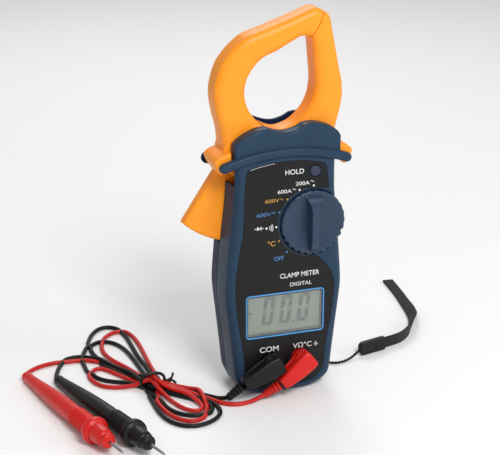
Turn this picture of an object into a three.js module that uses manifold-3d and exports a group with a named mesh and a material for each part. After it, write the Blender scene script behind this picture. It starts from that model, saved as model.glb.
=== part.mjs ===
// A clamp meter with its two test leads and its wrist strap. Millimetres, +Z up the meter, the display
// faces -Y, and the origin is the middle of the flat foot that the case stands on.
import * as THREE from "three";
import { mergeVertices } from "three/addons/utils/BufferGeometryUtils.js";
import Module from "manifold-3d";

const wasm = await Module();
wasm.setup();

// ---------------------------------------------------------------- driving dimensions
const GAP = 0.3; // clearance between touching pieces

const CASE_FRONT = -18;
const CASE_REAR = 18;
const PARTING = -2; // where the front half ends
const WALL = 2;
const SIDE_FLARE = 0.045; // the sides lean out by this share of the width, front face to parting line

const JAW_FRONT = -9.2;
const JAW_REAR = 7.2;
const JAW_ROUNDING = 2.2;
const PIVOT = { x: -18, z: 143 };
const PIVOT_RADIUS = 2;
const HUB_RADIUS = 15.6;
const TRIGGER_RADIUS = 54;
const TRIGGER_FRONT = PARTING + GAP;
const TRIGGER_REAR = 7;

const RIDGE_RADIUS = 108; // the barrier ridge is an arc across the case
const RIDGE_CENTRE_Z = 36;
const RIDGE_HALF_WIDTH = 2.6;

const KNOB = { x: 15.3, z: 102.5, radius: 18.8, front: -20.6, notches: 26 };
const KNOB_BAR = { halfWidth: 2.7, halfLength: 14.5, front: -24.6 };
const HOLD = { x: 16.6, z: 132.1, radius: 3.1 };
const SOCKET_X = 9.5; // two 4 mm sockets, 19 mm apart
const SOCKET_Z = 20;
const SCREEN = { z: 48.9, halfWidth: 23.1, halfHeight: 12.85, line: 1.1 };
const CORD_RADIUS = 1.25;

// ---------------------------------------------------------------- materials
const plain = (color, roughness = 0.6, metalness = 0) =>
  new THREE.MeshStandardMaterial({ color, roughness, metalness });
const SLATE = plain(0x3a4e64, 0.5);
const NAVY = plain(0x26374f, 0.45);
const ORANGE = plain(0xffa22a, 0.55);
const BLACK = plain(0x1b1b1d, 0.55);
const LABEL = plain(0x262728, 0.5);
const RED = plain(0xd62a22, 0.45);
const LIGHT_BLUE = plain(0x5fa8d8, 0.5);
const GLASS = plain(0x9fb0a4, 0.1);
const DISPLAY = plain(0x8d9c8e, 0.4);
const GREEN = plain(0x1f6b3c, 0.6);
const STEEL = plain(0xb9bcc0, 0.3, 0.9);
const BRASS = plain(0xc9a24a, 0.35, 0.9);
const FERRITE = plain(0x4a4a4e, 0.7, 0.2);
const COPPER = plain(0xa8602c, 0.45, 0.6);
const WHITE = plain(0xd9d6cc, 0.6);

// ---------------------------------------------------------------- solids
function toSolid(geometry) {
  const bare = geometry.index ? geometry.toNonIndexed() : geometry.clone();
  bare.deleteAttribute("normal");
  bare.deleteAttribute("uv");
  const merged = mergeVertices(bare, 1e-3);
  return new wasm.Manifold(
    new wasm.Mesh({
      numProp: 3,
      vertProperties: merged.attributes.position.array,
      triVerts: new Uint32Array(merged.index.array),
    }),
  );
}

function toGeometry(solid) {
  const mesh = solid.getMesh();
  return new THREE.BufferGeometry()
    .setAttribute("position", new THREE.BufferAttribute(mesh.vertProperties, 3))
    .setIndex(new THREE.BufferAttribute(mesh.triVerts, 1));
}

const join = (...pieces) => toGeometry(pieces.map(toSolid).reduce((a, b) => a.add(b)));
const cut = (piece, ...tools) =>
  toGeometry(tools.map(toSolid).reduce((a, b) => a.subtract(b), toSolid(piece)));
const common = (a, b) => toGeometry(toSolid(a).intersect(toSolid(b)));

// ---------------------------------------------------------------- shapes
const v2 = ([x, y]) => new THREE.Vector2(x, y);
const v3 = ([x, y, z]) => new THREE.Vector3(x, y, z);
const curve = (points, steps) => new THREE.SplineCurve(points.map(v2)).getPoints(steps);
const shapeOf = (...runs) => new THREE.Shape(runs.flat().map((p) => (Array.isArray(p) ? v2(p) : p)));
const radians = THREE.MathUtils.degToRad;

// Points round a circle in the XZ plane, from one angle to another in degrees.
function arc(x, z, radius, from, to, steps) {
  return Array.from({ length: steps + 1 }, (_, i) => {
    const a = radians(from + ((to - from) * i) / steps);
    return new THREE.Vector2(x + radius * Math.cos(a), z + radius * Math.sin(a));
  });
}

// An outline drawn in X and Z, made solid from its front to its back along Y, with rounded edges.
function slab(shape, front, back, rounding = 0, steps = 2) {
  const geometry = new THREE.ExtrudeGeometry(shape, {
    depth: back - front - 2 * rounding,
    bevelEnabled: rounding > 0,
    bevelThickness: rounding,
    bevelSize: rounding,
    bevelOffset: -rounding,
    bevelSegments: steps,
    steps: 1,
    curveSegments: 8,
  });
  return geometry.rotateX(Math.PI / 2).translate(0, back - rounding, 0);
}

const drum = (x, z, radius, front, back, sides = 24) =>
  new THREE.CylinderGeometry(radius, radius, back - front, sides).translate(x, (front + back) / 2, z);

const block = (x0, x1, y0, y1, z0, z1) =>
  new THREE.BoxGeometry(x1 - x0, y1 - y0, z1 - z0).translate((x0 + x1) / 2, (y0 + y1) / 2, (z0 + z1) / 2);

// A round bar between two points, with a radius at each end.
function rod(a, b, radiusA, radiusB, sides = 16) {
  const [from, to] = [v3(a), v3(b)];
  const along = to.clone().sub(from);
  const turn = new THREE.Quaternion().setFromUnitVectors(
    new THREE.Vector3(0, 1, 0),
    along.clone().normalize(),
  );
  return new THREE.CylinderGeometry(radiusB, radiusA, along.length(), sides)
    .applyQuaternion(turn)
    .translate(...from.add(to).multiplyScalar(0.5));
}

// A turned piece: its profile is [radius, distance from a] pairs along the line from a to b.
function turned(a, b, profile, sides = 20) {
  const [from, to] = [v3(a), v3(b)];
  const turn = new THREE.Quaternion().setFromUnitVectors(
    new THREE.Vector3(0, 1, 0),
    to.sub(from).normalize(),
  );
  return new THREE.LatheGeometry(profile.map(v2), sides).applyQuaternion(turn).translate(...from);
}

// A skin over a stack of rings with equal numbers of points, closed at both ends.
function loft(rings) {
  const count = rings[0].length;
  const positions = rings.flat().flatMap((p) => [p.x, p.y, p.z]);
  const index = [];
  for (let r = 0; r + 1 < rings.length; r++)
    for (let i = 0; i < count; i++) {
      const [a, b] = [r * count + i, r * count + ((i + 1) % count)];
      index.push(a, a + count, b + count, a, b + count, b);
    }
  const flat = rings[0].map((p) => new THREE.Vector2(p.x, p.z));
  const last = (rings.length - 1) * count;
  for (const [a, b, c] of THREE.ShapeUtils.triangulateShape(flat, []))
    index.push(a, b, c, last + a, last + c, last + b);
  return new THREE.BufferGeometry()
    .setAttribute("position", new THREE.Float32BufferAttribute(positions, 3))
    .setIndex(index);
}

// A closed outline moved inwards by a distance.
function inset(points, distance) {
  const count = points.length;
  return points.map((p, i) => {
    const before = points[(i + count - 1) % count];
    const after = points[(i + 1) % count];
    const a = p.clone().sub(before).normalize();
    const b = after.clone().sub(p).normalize();
    const normal = new THREE.Vector2(-a.y - b.y, a.x + b.x).normalize();
    const reach = distance / Math.max(0.5, normal.x * -a.y + normal.y * a.x);
    return p.clone().addScaledVector(normal, reach);
  });
}

// The outline of a ribbon of constant width laid along a line.
function ribbon(points, halfWidth, steps) {
  const line = new THREE.SplineCurve(points.map(v2));
  const side = (sign) =>
    Array.from({ length: steps + 1 }, (_, i) => {
      const t = i / steps;
      const along = line.getTangent(t);
      return line.getPoint(t).add(new THREE.Vector2(-along.y, along.x).multiplyScalar(sign * halfWidth));
    });
  return shapeOf(side(-1), side(1).reverse());
}

// A round tube along a smooth line through the points.
function tube(points, radius, steps, sides = 8) {
  const path = new THREE.CatmullRomCurve3(points.map(v3), false, "centripetal");
  const section = new THREE.Shape(
    Array.from({ length: sides }, (_, i) => {
      const a = (2 * Math.PI * i) / sides;
      return new THREE.Vector2(radius * Math.cos(a), radius * Math.sin(a));
    }),
  );
  return new THREE.ExtrudeGeometry(section, { steps, bevelEnabled: false, extrudePath: path });
}

const meter = new THREE.Group();
function add(name, geometry, material) {
  const mesh = new THREE.Mesh(geometry, material);
  mesh.name = name;
  meter.add(mesh);
}

// ---------------------------------------------------------------- outlines
const SIDE = [
  [13, 0], [18.5, 1.5], [23.5, 3.8], [27.5, 7.5], [28.8, 13], [29.6, 21], [32, 43], [33.5, 56],
  [34.1, 65], [33.3, 78], [31.8, 95], [30.2, 110], [29.2, 123], [29.1, 139.9],
];

// The case seen from the front: straight foot, waisted sides, and a top that follows the ridge.
function caseOutline() {
  const right = curve(SIDE, 21);
  const left = right.map((p) => new THREE.Vector2(-p.x, p.y)).reverse();
  const end = THREE.MathUtils.radToDeg(Math.acos(29.1 / RIDGE_RADIUS));
  const top = arc(0, RIDGE_CENTRE_Z, RIDGE_RADIUS, end, 180 - end, 5).slice(1, -1);
  return [...right, ...top, ...left];
}
const OUTLINE = caseOutline();

// One section of the case at a depth y, moved in by a distance and leaning out towards the parting line.
function caseRing(y, distance) {
  const front = (y - CASE_FRONT) / (PARTING - CASE_FRONT);
  const rear = (y - 11) / (PARTING - 11);
  const flare = SIDE_FLARE * THREE.MathUtils.clamp(y < PARTING ? front : rear, 0, 1);
  return inset(OUTLINE, distance).map((p) => new THREE.Vector3(p.x * (1 + flare), y, p.y));
}

function bandOutline(halfAngle, halfWidth) {
  const [low, high] = [90 - halfAngle, 90 + halfAngle];
  const tip = (angle) => {
    const a = radians(angle);
    return [RIDGE_RADIUS * Math.cos(a), RIDGE_CENTRE_Z + RIDGE_RADIUS * Math.sin(a)];
  };
  return shapeOf(
    arc(0, RIDGE_CENTRE_Z, RIDGE_RADIUS + halfWidth, low, high, 10),
    arc(...tip(high), halfWidth, high, high + 180, 4).slice(1, -1),
    arc(0, RIDGE_CENTRE_Z, RIDGE_RADIUS - halfWidth, high, low, 10),
    arc(...tip(low), halfWidth, low + 180, low + 360, 4).slice(1, -1),
  );
}

// The head cover seen from the front: it dips in the middle to follow the jaw opening.
const headOutline = (rise) =>
  shapeOf(
    [[29.3, 137.8], [29.3, 149.7 + rise]],
    curve([[27.2, 153.2 + rise], [24.5, 155.5 + rise], [18, 158 + rise], [13, 158 + rise]], 5),
    curve([[7.5, 154.8 + rise], [0.3, 153 + rise], [-5, 153.7 + rise], [-9.6, 156.6 + rise]], 5),
    curve([[-12.3, 157.9 + rise], [-19, 156.5 + rise], [-25, 153.4 + rise], [-29.3, 149.7 + rise]], 5),
    [[-29.3, 137.8]],
  );

function labelOutline(grow) {
  const right = curve(
    [[24.1, 17], [25.3, 30], [28, 46], [29.5, 63], [29.2, 75], [26.4, 93], [25.2, 100], [24.1, 125],
      [23.6, 133]],
    12,
  );
  const corner = arc(12.1, 16.6, 12, -90, 0, 5);
  const half = [...corner, ...right, new THREE.Vector2(22.6, 135.9)];
  const mirrored = half.map((p) => new THREE.Vector2(-p.x, p.y)).reverse();
  const top = arc(0, 58.6, 80.6, 78, 102, 5);
  return new THREE.Shape(inset([...half, ...top, ...mirrored], -grow));
}

function roundedRectangle(halfWidth, halfHeight, radius, z, steps = 3) {
  const [x, y] = [halfWidth - radius, halfHeight - radius];
  return shapeOf(
    arc(x, z - y, radius, -90, 0, steps),
    arc(x, z + y, radius, 0, 90, steps),
    arc(-x, z + y, radius, 90, 180, steps),
    arc(-x, z - y, radius, 180, 270, steps),
  );
}

// ---------------------------------------------------------------- screws
const CASE_SCREWS = [[-21, 14.5], [21, 14.5], [-26.5, 82], [26.5, 82], [22, 122]];
const JAW_SCREWS = [[18.5, 140.2], [26.5, 140.8]];

function screw(x, z, headRear, tip, headRadius = 2.6) {
  const slot = block(x - 1.9, x + 1.9, headRear - 0.8, headRear + 1, z - 0.35, z + 0.35);
  const cross = block(x - 0.35, x + 0.35, headRear - 0.8, headRear + 1, z - 1.9, z + 1.9);
  const body = join(
    drum(x, z, headRadius, headRear - 1.6, headRear, 12),
    drum(x, z, 1.2, tip, headRear - 1, 6),
  );
  return cut(body, slot, cross);
}

// ---------------------------------------------------------------- case
const SOCKETS = [-SOCKET_X, SOCKET_X];
const SHROUD = { inner: 6.2, outer: 7.4, floor: -6 };

function frontCase() {
  const outside = loft([
    caseRing(CASE_FRONT, 4),
    caseRing(-17.46, 2),
    caseRing(-16, 0.54),
    caseRing(-14, 0),
    caseRing(PARTING, 0),
  ]);
  const inside = loft([caseRing(CASE_FRONT + WALL, 5), caseRing(-13.5, WALL), caseRing(PARTING + 1, WALL)]);
  const jawRoom = block(-60, 60, JAW_FRONT - 0.4, 5, 136.5, 170);
  const leverNotch = block(-60, -25.4, -15, 5, 126.2, 170);
  const ledgeNotch = block(29.5, 60, -15, 5, 136.4, 170);
  const shell = cut(outside, inside, jawRoom, leverNotch, ledgeNotch);
  const cover = slab(headOutline(0), -17, JAW_FRONT - 0.4, 2.6, 2);
  const coverRoom = block(-40, 40, -20, JAW_FRONT - 0.4, 138.4, 170);
  const ridge = slab(bandOutline(19.25, RIDGE_HALF_WIDTH), -19.6, -15, 1.3);
  const shrouds = SOCKETS.map((x) => drum(x, SOCKET_Z, SHROUD.outer, -16.5, SHROUD.floor + 1.6));
  const bosses = CASE_SCREWS.map(([x, z]) => drum(x, z, 3, -16.5, PARTING, 8));
  const bossesKept = bosses.map((boss) => common(boss, outside));
  const whole = join(shell, common(cover, coverRoom), ridge, ...shrouds, ...bossesKept);
  return cut(
    whole,
    slab(labelOutline(GAP), -20, CASE_FRONT + 0.6),
    slab(roundedRectangle(22.5, 12.2, 1.4, SCREEN.z), -20, -10),
    ...SOCKETS.map((x) => drum(x, SOCKET_Z, SHROUD.inner, -20, SHROUD.floor)),
    ...SOCKETS.map((x) => drum(x, SOCKET_Z, 3.5, -20, 0)),
    drum(KNOB.x, KNOB.z, 4.4, -20, -12),
    drum(HOLD.x, HOLD.z, HOLD.radius + 0.3, -20, -12),
    drum(PIVOT.x, PIVOT.z, PIVOT_RADIUS + GAP, -12.9, 0, 16),
    ...CASE_SCREWS.map(([x, z]) => drum(x, z, 1.5, -14, 0, 6)),
  );
}

const DOOR = { halfWidth: 16, low: 27, high: 88 };

function rearCase() {
  const outside = loft([
    caseRing(PARTING + GAP, 0),
    caseRing(11, 0),
    caseRing(14.5, 0.94),
    caseRing(17.06, 3.5),
    caseRing(CASE_REAR, 7),
  ]);
  const inside = loft([caseRing(PARTING - 1, WALL), caseRing(11, WALL), caseRing(CASE_REAR - WALL, 7.5)]);
  const jawRoom = block(-60, 60, -5, JAW_REAR + 0.4, 136.5, 170);
  const triggerSlot = block(-60, -15, -5, JAW_REAR + 0.4, 89.8, 140);
  const shell = cut(outside, inside, jawRoom, triggerSlot);
  const cover = slab(headOutline(1), JAW_REAR + 0.4, 11, 1.2, 1);
  const ridge = slab(bandOutline(20.2, RIDGE_HALF_WIDTH + 0.8), JAW_REAR + 0.4, 10, 0.8, 1);
  const bosses = CASE_SCREWS.map(([x, z]) =>
    common(drum(x, z, 3.4, z > 100 || z < 50 ? PARTING + GAP : 8, 17, 8), outside),
  );
  const eyelet = drum(30.3, 8.5, 4, 5, 8.4, 16);
  return cut(
    join(shell, cover, ridge, eyelet, ...bosses),
    drum(30.9, 8.5, 2.1, 0, 20, 12),
    slab(roundedRectangle(DOOR.halfWidth + GAP, (DOOR.high - DOOR.low) / 2 + GAP, 3,
      (DOOR.high + DOOR.low) / 2), 14, 20),
    drum(PIVOT.x, PIVOT.z, PIVOT_RADIUS + GAP, 0, 10, 16),
    ...CASE_SCREWS.map(([x, z]) => drum(x, z, 3, 12.5, 20, 12)),
    ...CASE_SCREWS.map(([x, z]) => drum(x, z, 1.5, -5, 20, 6)),
    ...JAW_SCREWS.map(([x, z]) => drum(x, z, 2.8, 9.2, 20, 12)),
    ...JAW_SCREWS.map(([x, z]) => drum(x, z, 1.5, 0, 20, 6)),
  );
}

function batteryDoor() {
  const middle = (DOOR.high + DOOR.low) / 2;
  const panel = slab(roundedRectangle(DOOR.halfWidth, (DOOR.high - DOOR.low) / 2, 2.7, middle), 16.2,
    CASE_REAR);
  const ribs = [-12, -6, 0, 6, 12].map((x) => block(x - 0.8, x + 0.8, 17.6, 18.5, DOOR.low + 5,
    DOOR.low + 17));
  return cut(join(panel, ...ribs), drum(0, DOOR.high - 5, 3, 17, 20, 16), drum(0, DOOR.high - 5, 1.5, 10,
    20, 8));
}

function frontLabel() {
  const sheet = slab(labelOutline(0), CASE_FRONT - 0.1, CASE_FRONT + 0.3);
  return cut(
    sheet,
    slab(roundedRectangle(23.95, 13.7, 2.6, SCREEN.z), -20, -10),
    ...SOCKETS.map((x) => drum(x, SOCKET_Z, SHROUD.inner + 0.1, -20, -10)),
    drum(KNOB.x, KNOB.z, 4.6, -20, -10),
    drum(HOLD.x, HOLD.z, HOLD.radius + 0.4, -20, -10),
  );
}

function displayFrame() {
  const half = SCREEN.line / 2;
  return cut(
    slab(roundedRectangle(SCREEN.halfWidth + half, SCREEN.halfHeight + half, 2.3, SCREEN.z), -18.3, -17.7),
    slab(roundedRectangle(SCREEN.halfWidth - half, SCREEN.halfHeight - half, 1.4, SCREEN.z), -20, -10),
  );
}

add("front_case", frontCase(), SLATE);
add("rear_case", rearCase(), NAVY);
add("battery_door", batteryDoor(), NAVY);
add("front_label", frontLabel(), LABEL);
add("display_frame", displayFrame(), LIGHT_BLUE);
add("display_window", slab(roundedRectangle(22.2, 11.9, 1.2, SCREEN.z), -17.9, -16.5), GLASS);
add("display_panel", block(-25, 25, -15.4, -12.8, SCREEN.z - 15, SCREEN.z + 15), DISPLAY);
for (const [name, z] of [["lower", SCREEN.z - 12.8], ["upper", SCREEN.z + 12.8]])
  add(`display_contact_strip_${name}`, block(-22, 22, -12.5, -9.6, z - 1.2, z + 1.2), BLACK);
CASE_SCREWS.forEach(([x, z], i) => add(`case_screw_${i + 1}`, screw(x, z, 14.4, -12), STEEL));
JAW_SCREWS.forEach(([x, z], i) => add(`jaw_screw_${i + 1}`, screw(x, z, 11, -6, 2.4), STEEL));
add("battery_door_screw", screw(0, DOOR.high - 5, 18.8, 11.5, 2.4), STEEL);

// ---------------------------------------------------------------- jaws
// Both jaws are one ring round the opening, parted at the tip and at the root.
const OPENING = [
  ...curve([[16.5, 204.3], [13.4, 205], [10.1, 204.3], [-1.2, 198.4], [-10.7, 194.2], [-16.6, 188.2]], 10),
  ...curve([[-18.9, 184], [-20.2, 179], [-20.2, 173], [-18, 166.2], [-14.4, 161.3], [-10.3, 157.8]], 10),
  ...curve([[-5.5, 155.3], [0, 154.2], [7.9, 156.6], [13.8, 161.6], [17.3, 166.4], [19.5, 171.9]], 10),
  ...curve([[20.4, 178.5], [20.1, 184], [19.2, 193], [18.4, 201], [17.8, 203.4]], 8),
];
const RING = [
  ...curve([[-33.2, 146], [-34.2, 156], [-36.5, 165], [-38, 175.5], [-37, 183.5], [-33.8, 192.5], [-28,
    200]], 14),
  ...curve([[-23.5, 203.9], [-18.7, 207], [-7.4, 210.7], [4, 214.6], [15, 218.6], [19.4, 220.1], [22,
    219.6]], 10),
  ...curve([[24.4, 218.3], [27, 216.5], [28.7, 213.6], [29.9, 207.7], [31.5, 200], [34.2, 187], [36.3,
    178]], 14),
  ...curve([[36.6, 172], [35.9, 165.5], [34, 157.5], [32.5, 151], [31.8, 145]], 8),
];
const ROOT_LINE = [[30.4, 139.5], [28.5, 137.2], [-18, 137.2], [-31, 139.5]];
const MOVING_SIDE = [
  [26.6, 224], [24, 218.2], [21, 211.2], [16.3, 204], [10, 194], [-13.4, 162.4], [-14.6, 161.2],
  [-7.9, 155], [PIVOT.x, PIVOT.z], [PIVOT.x, 120], [-60, 120], [-60, 224],
];
const FIXED_SIDE = [
  [27.1, 224], [24.5, 218], [21.5, 211], [16.8, 203.8], [10.5, 193.7], [-13.1, 162.2], [-13.9, 161.1],
  [-7.5, 155.3], [PIVOT.x, PIVOT.z], [PIVOT.x, 120], [60, 120], [60, 224],
];
const MOVING_CORE = [
  [0, 145.8], [-6, 148.2], [-14, 151.2], [-21, 154.4], [-26.3, 161], [-28.8, 169], [-29.2, 176], [-27.5,
    185],
  [-22.5, 193.5], [-14, 199.8], [-4, 204.6], [4, 208], [12, 211], [23, 214.5],
];
const FIXED_CORE = [
  [-6, 146.4], [2, 145.5], [8, 145.5], [14, 146.2], [20, 149], [26, 157], [28.6, 168], [28.5, 178],
    [26.8, 189], [25, 199],
  [23.4, 206.5], [18, 215.5],
];
const CORE = { front: -5, rear: 3, halfWidth: 4 };
const COIL = { low: 3.6, high: 12.4, half: 6.2 };

const turnedAnticlockwise = (points) => (THREE.ShapeUtils.isClockWise(points) ? points.reverse() : points);

function jawRing() {
  const shape = new THREE.Shape(turnedAnticlockwise([...RING, ...ROOT_LINE.map(v2)]));
  shape.holes.push(new THREE.Path(turnedAnticlockwise([...OPENING])));
  return slab(shape, JAW_FRONT, JAW_REAR, JAW_ROUNDING, 2);
}

const half = (side) => slab(new THREE.Shape(turnedAnticlockwise(side.map(v2))), -20, 20);
const coreChannel = (line) =>
  slab(ribbon(line, CORE.halfWidth + GAP, 26), CORE.front - GAP, CORE.rear + GAP);

// The ear that fills the gap behind the barrier ridge, outside the case, on the left or on the right.
function ear(sign) {
  const points = [
    [30.4, 145.3], [33.5, 144.9], [36.5, 143.9], [38.9, 142.6], [40.2, 140.4], [38.9, 136.9], [36.3, 133.4],
    [34.2, 134.2], [31.6, 136], [30.4, 137],
  ].map(([x, z]) => new THREE.Vector2(sign * x, z));
  return slab(new THREE.Shape(turnedAnticlockwise(points)), -14.6, JAW_REAR, 1, 2);
}

function triggerOutline() {
  const reach = (x) => [x, PIVOT.z - Math.sqrt(TRIGGER_RADIUS ** 2 - (x - PIVOT.x) ** 2)];
  const rim = [-54.1, -50, -45, -40, -34, -28.5].map(reach);
  return new THREE.Shape(
    turnedAnticlockwise([[-30, 139], [-37, 134.5], [-35.4, 131.2], ...rim, [-22, 128.5], [-22,
      139]].map(v2)),
  );
}

function movingJaw() {
  const hub = drum(PIVOT.x, PIVOT.z, HUB_RADIUS, JAW_FRONT, JAW_REAR, 48);
  const trigger = slab(triggerOutline(), TRIGGER_FRONT, TRIGGER_REAR, 0.9, 2);
  return cut(
    join(common(jawRing(), half(MOVING_SIDE)), hub, ear(-1), trigger),
    coreChannel(MOVING_CORE),
    drum(PIVOT.x, PIVOT.z, PIVOT_RADIUS + GAP, -20, 20, 16),
    drum(PIVOT.x, PIVOT.z, 5.7, 1.9, 20, 16),
  );
}

function fixedJaw() {
  return cut(
    join(common(jawRing(), half(FIXED_SIDE)), ear(1)),
    hubDisc(0.35),
    coreChannel(FIXED_CORE),
    block(COIL.low - GAP, COIL.high + GAP, -1 - COIL.half - GAP, -1 + COIL.half + GAP, 130,
      145.5 + COIL.half + GAP),
    ...JAW_SCREWS.map(([x, z]) => drum(x, z, 1.5, -7, 20, 6)),
  );
}

const coreBar = (line) => slab(ribbon(line, CORE.halfWidth, 26), CORE.front, CORE.rear);
const hubDisc = (grow) => drum(PIVOT.x, PIVOT.z, HUB_RADIUS + grow, -20, 20, 48);

function pickupCoil() {
  const inner = CORE.halfWidth + 0.7;
  const cheek = (x) => block(x, x + 1, -1 - COIL.half, -1 + COIL.half, 145.5 - COIL.half,
    145.5 + COIL.half);
  const winding = COIL.half - 0.8;
  return cut(
    join(
      cheek(COIL.low),
      cheek(COIL.high - 1),
      block(COIL.low, COIL.high, -1 - winding, -1 + winding, 145.5 - winding, 145.5 + winding),
    ),
    block(0, 20, -1 - inner, -1 + inner, 145.5 - inner, 145.5 + inner),
  );
}

function returnSpring() {
  const [turns, perTurn] = [3.2, 12];
  const count = Math.round(turns * perTurn);
  const points = Array.from({ length: count + 1 }, (_, i) => {
    const a = (2 * Math.PI * i) / perTurn;
    return [PIVOT.x + 4.3 * Math.cos(a), 2.9 + (3.5 * i) / count, PIVOT.z + 4.3 * Math.sin(a)];
  });
  return tube(points, 0.45, count, 5);
}

add("fixed_jaw", fixedJaw(), ORANGE);
add("moving_jaw", movingJaw(), ORANGE);
add("fixed_core", cut(common(coreBar(FIXED_CORE), half(FIXED_SIDE)), hubDisc(0.35)), FERRITE);
add("moving_core", common(coreBar(MOVING_CORE), join(half(MOVING_SIDE), hubDisc(0))), FERRITE);
add("pickup_coil", pickupCoil(), COPPER);
add("jaw_pivot_pin", drum(PIVOT.x, PIVOT.z, PIVOT_RADIUS, -12.6, 9.7, 16), STEEL);
add("trigger_return_spring", returnSpring(), STEEL);

// ---------------------------------------------------------------- knob and button
function selectorKnob() {
  const steps = KNOB.notches * 3;
  const rim = Array.from({ length: steps }, (_, i) => {
    const a = (2 * Math.PI * i) / steps;
    const radius = KNOB.radius - (i % 3 === 0 ? 0.9 : 0);
    return new THREE.Vector2(KNOB.x + radius * Math.cos(a), KNOB.z + radius * Math.sin(a));
  });
  const disc = slab(new THREE.Shape(rim), KNOB.front, CASE_FRONT - 0.5, 0.7, 1);
  const scoop = (sign) =>
    new THREE.SphereGeometry(1, 12, 8)
      .scale(7, 2, 13.4)
      .translate(KNOB.x + sign * 10.2, KNOB.front - 0.6, KNOB.z);
  return cut(
    join(
      disc,
      drum(KNOB.x, KNOB.z, 3.9, CASE_FRONT - 1, -13.3, 16),
      block(
        KNOB.x - KNOB_BAR.halfWidth, KNOB.x + KNOB_BAR.halfWidth, KNOB_BAR.front, KNOB.front + 1,
        KNOB.z - KNOB_BAR.halfLength, KNOB.z + KNOB_BAR.halfLength,
      ),
    ),
    scoop(-1),
    scoop(1),
  );
}

add("selector_knob", selectorKnob(), SLATE);
add(
  "contact_rotor",
  cut(
    join(drum(KNOB.x, KNOB.z, 10.5, -13, -11, 28), drum(KNOB.x, KNOB.z, 2, -13, -9.7, 12)),
    ...arc(KNOB.x, KNOB.z, 10.9, 0, 315, 14).map((p) => drum(p.x, p.y, 1.1, -14, -10, 6)),
  ),
  WHITE,
);
add("contact_wiper", cut(drum(KNOB.x, KNOB.z, 8, -10.6, -9.9, 20), drum(KNOB.x, KNOB.z, 2.4, -12, -8,
  12)), BRASS);
add("detent_ball", new THREE.SphereGeometry(0.9, 8, 6).translate(KNOB.x, -12, KNOB.z + 12.3), STEEL);
add("detent_spring", block(KNOB.x - 5, KNOB.x + 5, -13, -11, KNOB.z + 13.5, KNOB.z + 14), STEEL);
add(
  "hold_button",
  join(
    slab(shapeOf(arc(HOLD.x, HOLD.z, HOLD.radius, 0, 340, 17)), -19.1, -15.6, 0.6, 1),
    drum(HOLD.x, HOLD.z, 3.9, -15.6, -15, 18),
  ),
  SLATE,
);
add("hold_switch", join(block(13.6, 19.6, -12.5, -9.6, 129.1, 135.1), drum(HOLD.x, HOLD.z, 1.5, -13.8,
  -12, 12)), BLACK);

// ---------------------------------------------------------------- electronics and cells
const BOARD = shapeOf([
  [-20.5, 34], [20.5, 34], [20.5, 88], [27, 88], [27, 114], [25.5, 115], [18, 118.5], [18, 125], [20.5,
    127.5],
  [20.5, 136], [5, 136], [5, 126], [-20.5, 126],
]);
add("circuit_board", cut(slab(BOARD, -9.3, -7.7), drum(KNOB.x, KNOB.z, 2.4, -12, 0, 12)), GREEN);
add("buzzer", cut(drum(10, 92, 7, -7.4, -4, 24), drum(10, 92, 1, -5, -3, 8)), BLACK);
SOCKETS.forEach((x, i) =>
  add(
    `${["com", "volt"][i]}_socket`,
    cut(drum(x, SOCKET_Z, 3.2, -13, 3, 14), drum(x, SOCKET_Z, 2.3, -20, 1.5, 12)),
    BRASS,
  ),
);
add(
  "battery_tray",
  cut(block(-13, 13, 2.6, 15.8, 30, 80.6), block(-11.8, 11.8, 3.8, 20, 31.2, 79.4)),
  BLACK,
);
const CELL = { radius: 5.25, bottom: 33, length: 44.5 };
[-5.6, 5.6].forEach((x, i) =>
  add(
    `cell_${i + 1}`,
    turned([x, 9.4, CELL.bottom], [x, 9.4, CELL.bottom + 1], [
      [0, 0], [CELL.radius, 0], [CELL.radius, CELL.length - 1.2], [1.9, CELL.length - 1.2], [1.9,
        CELL.length], [0, CELL.length],
    ], 12),
    STEEL,
  ),
);
add("cell_contact_lower", block(-11, 11, 5, 14, 31.5, 32.1), BRASS);
add("cell_contact_upper", block(-11, 11, 5, 14, 78.2, 78.8), BRASS);

// ---------------------------------------------------------------- plugs
// Each plug turns from its socket to an arm across the front of the case, and ends in a strain relief.
const PLUGS = [
  { name: "black", x: -SOCKET_X, arm: [-27, -25.2, 12.2], end: [-36, -22.4, 3.6], material: BLACK },
  { name: "red", x: SOCKET_X, arm: [-4.6, -25.6, 9.4], end: [-14.4, -23.7, 2.9], material: RED },
];
const PLUG = { outer: 5.6, front: -29.2, shoulder: -18.9, shroudEnd: -8, bore: 3.6 };

function plugBody({ x, arm }) {
  const head = slab(shapeOf(arc(x, SOCKET_Z, PLUG.outer + 0.3, 0, 340, 17)), PLUG.front, PLUG.shoulder,
    1, 2);
  const shroud = drum(x, SOCKET_Z, PLUG.outer, PLUG.shoulder - 1, PLUG.shroudEnd, 16);
  return cut(
    join(head, shroud, rod([x, -24.2, SOCKET_Z], arm, 5.2, 3.5, 14)),
    drum(x, SOCKET_Z, PLUG.bore, PLUG.shoulder + 0.4, 0, 12),
    drum(x, SOCKET_Z, 2, PLUG.shoulder - 3.3, 0, 10),
  );
}

// A point a given distance past the end of the line from a to b.
function past(a, b, distance) {
  const [from, to] = [v3(a), v3(b)];
  return to.addScaledVector(to.clone().sub(from).normalize(), distance).toArray();
}

function strainRelief({ arm, end }) {
  const start = past(end, arm, -4.4 * GAP); // the two meet at an angle
  const length = v3(start).distanceTo(v3(end));
  const rings = [0.35, 0.65].flatMap((t) => [
    [2.75 - 0.6 * t, (t - 0.1) * length], [2.1, (t - 0.07) * length], [2.1, t * length], [2.7 - 0.6 * t,
      (t + 0.03) * length],
  ]);
  return turned(start, end, [[0, 0], [3, 0], ...rings, [2.1, length], [0, length]], 12);
}

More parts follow.
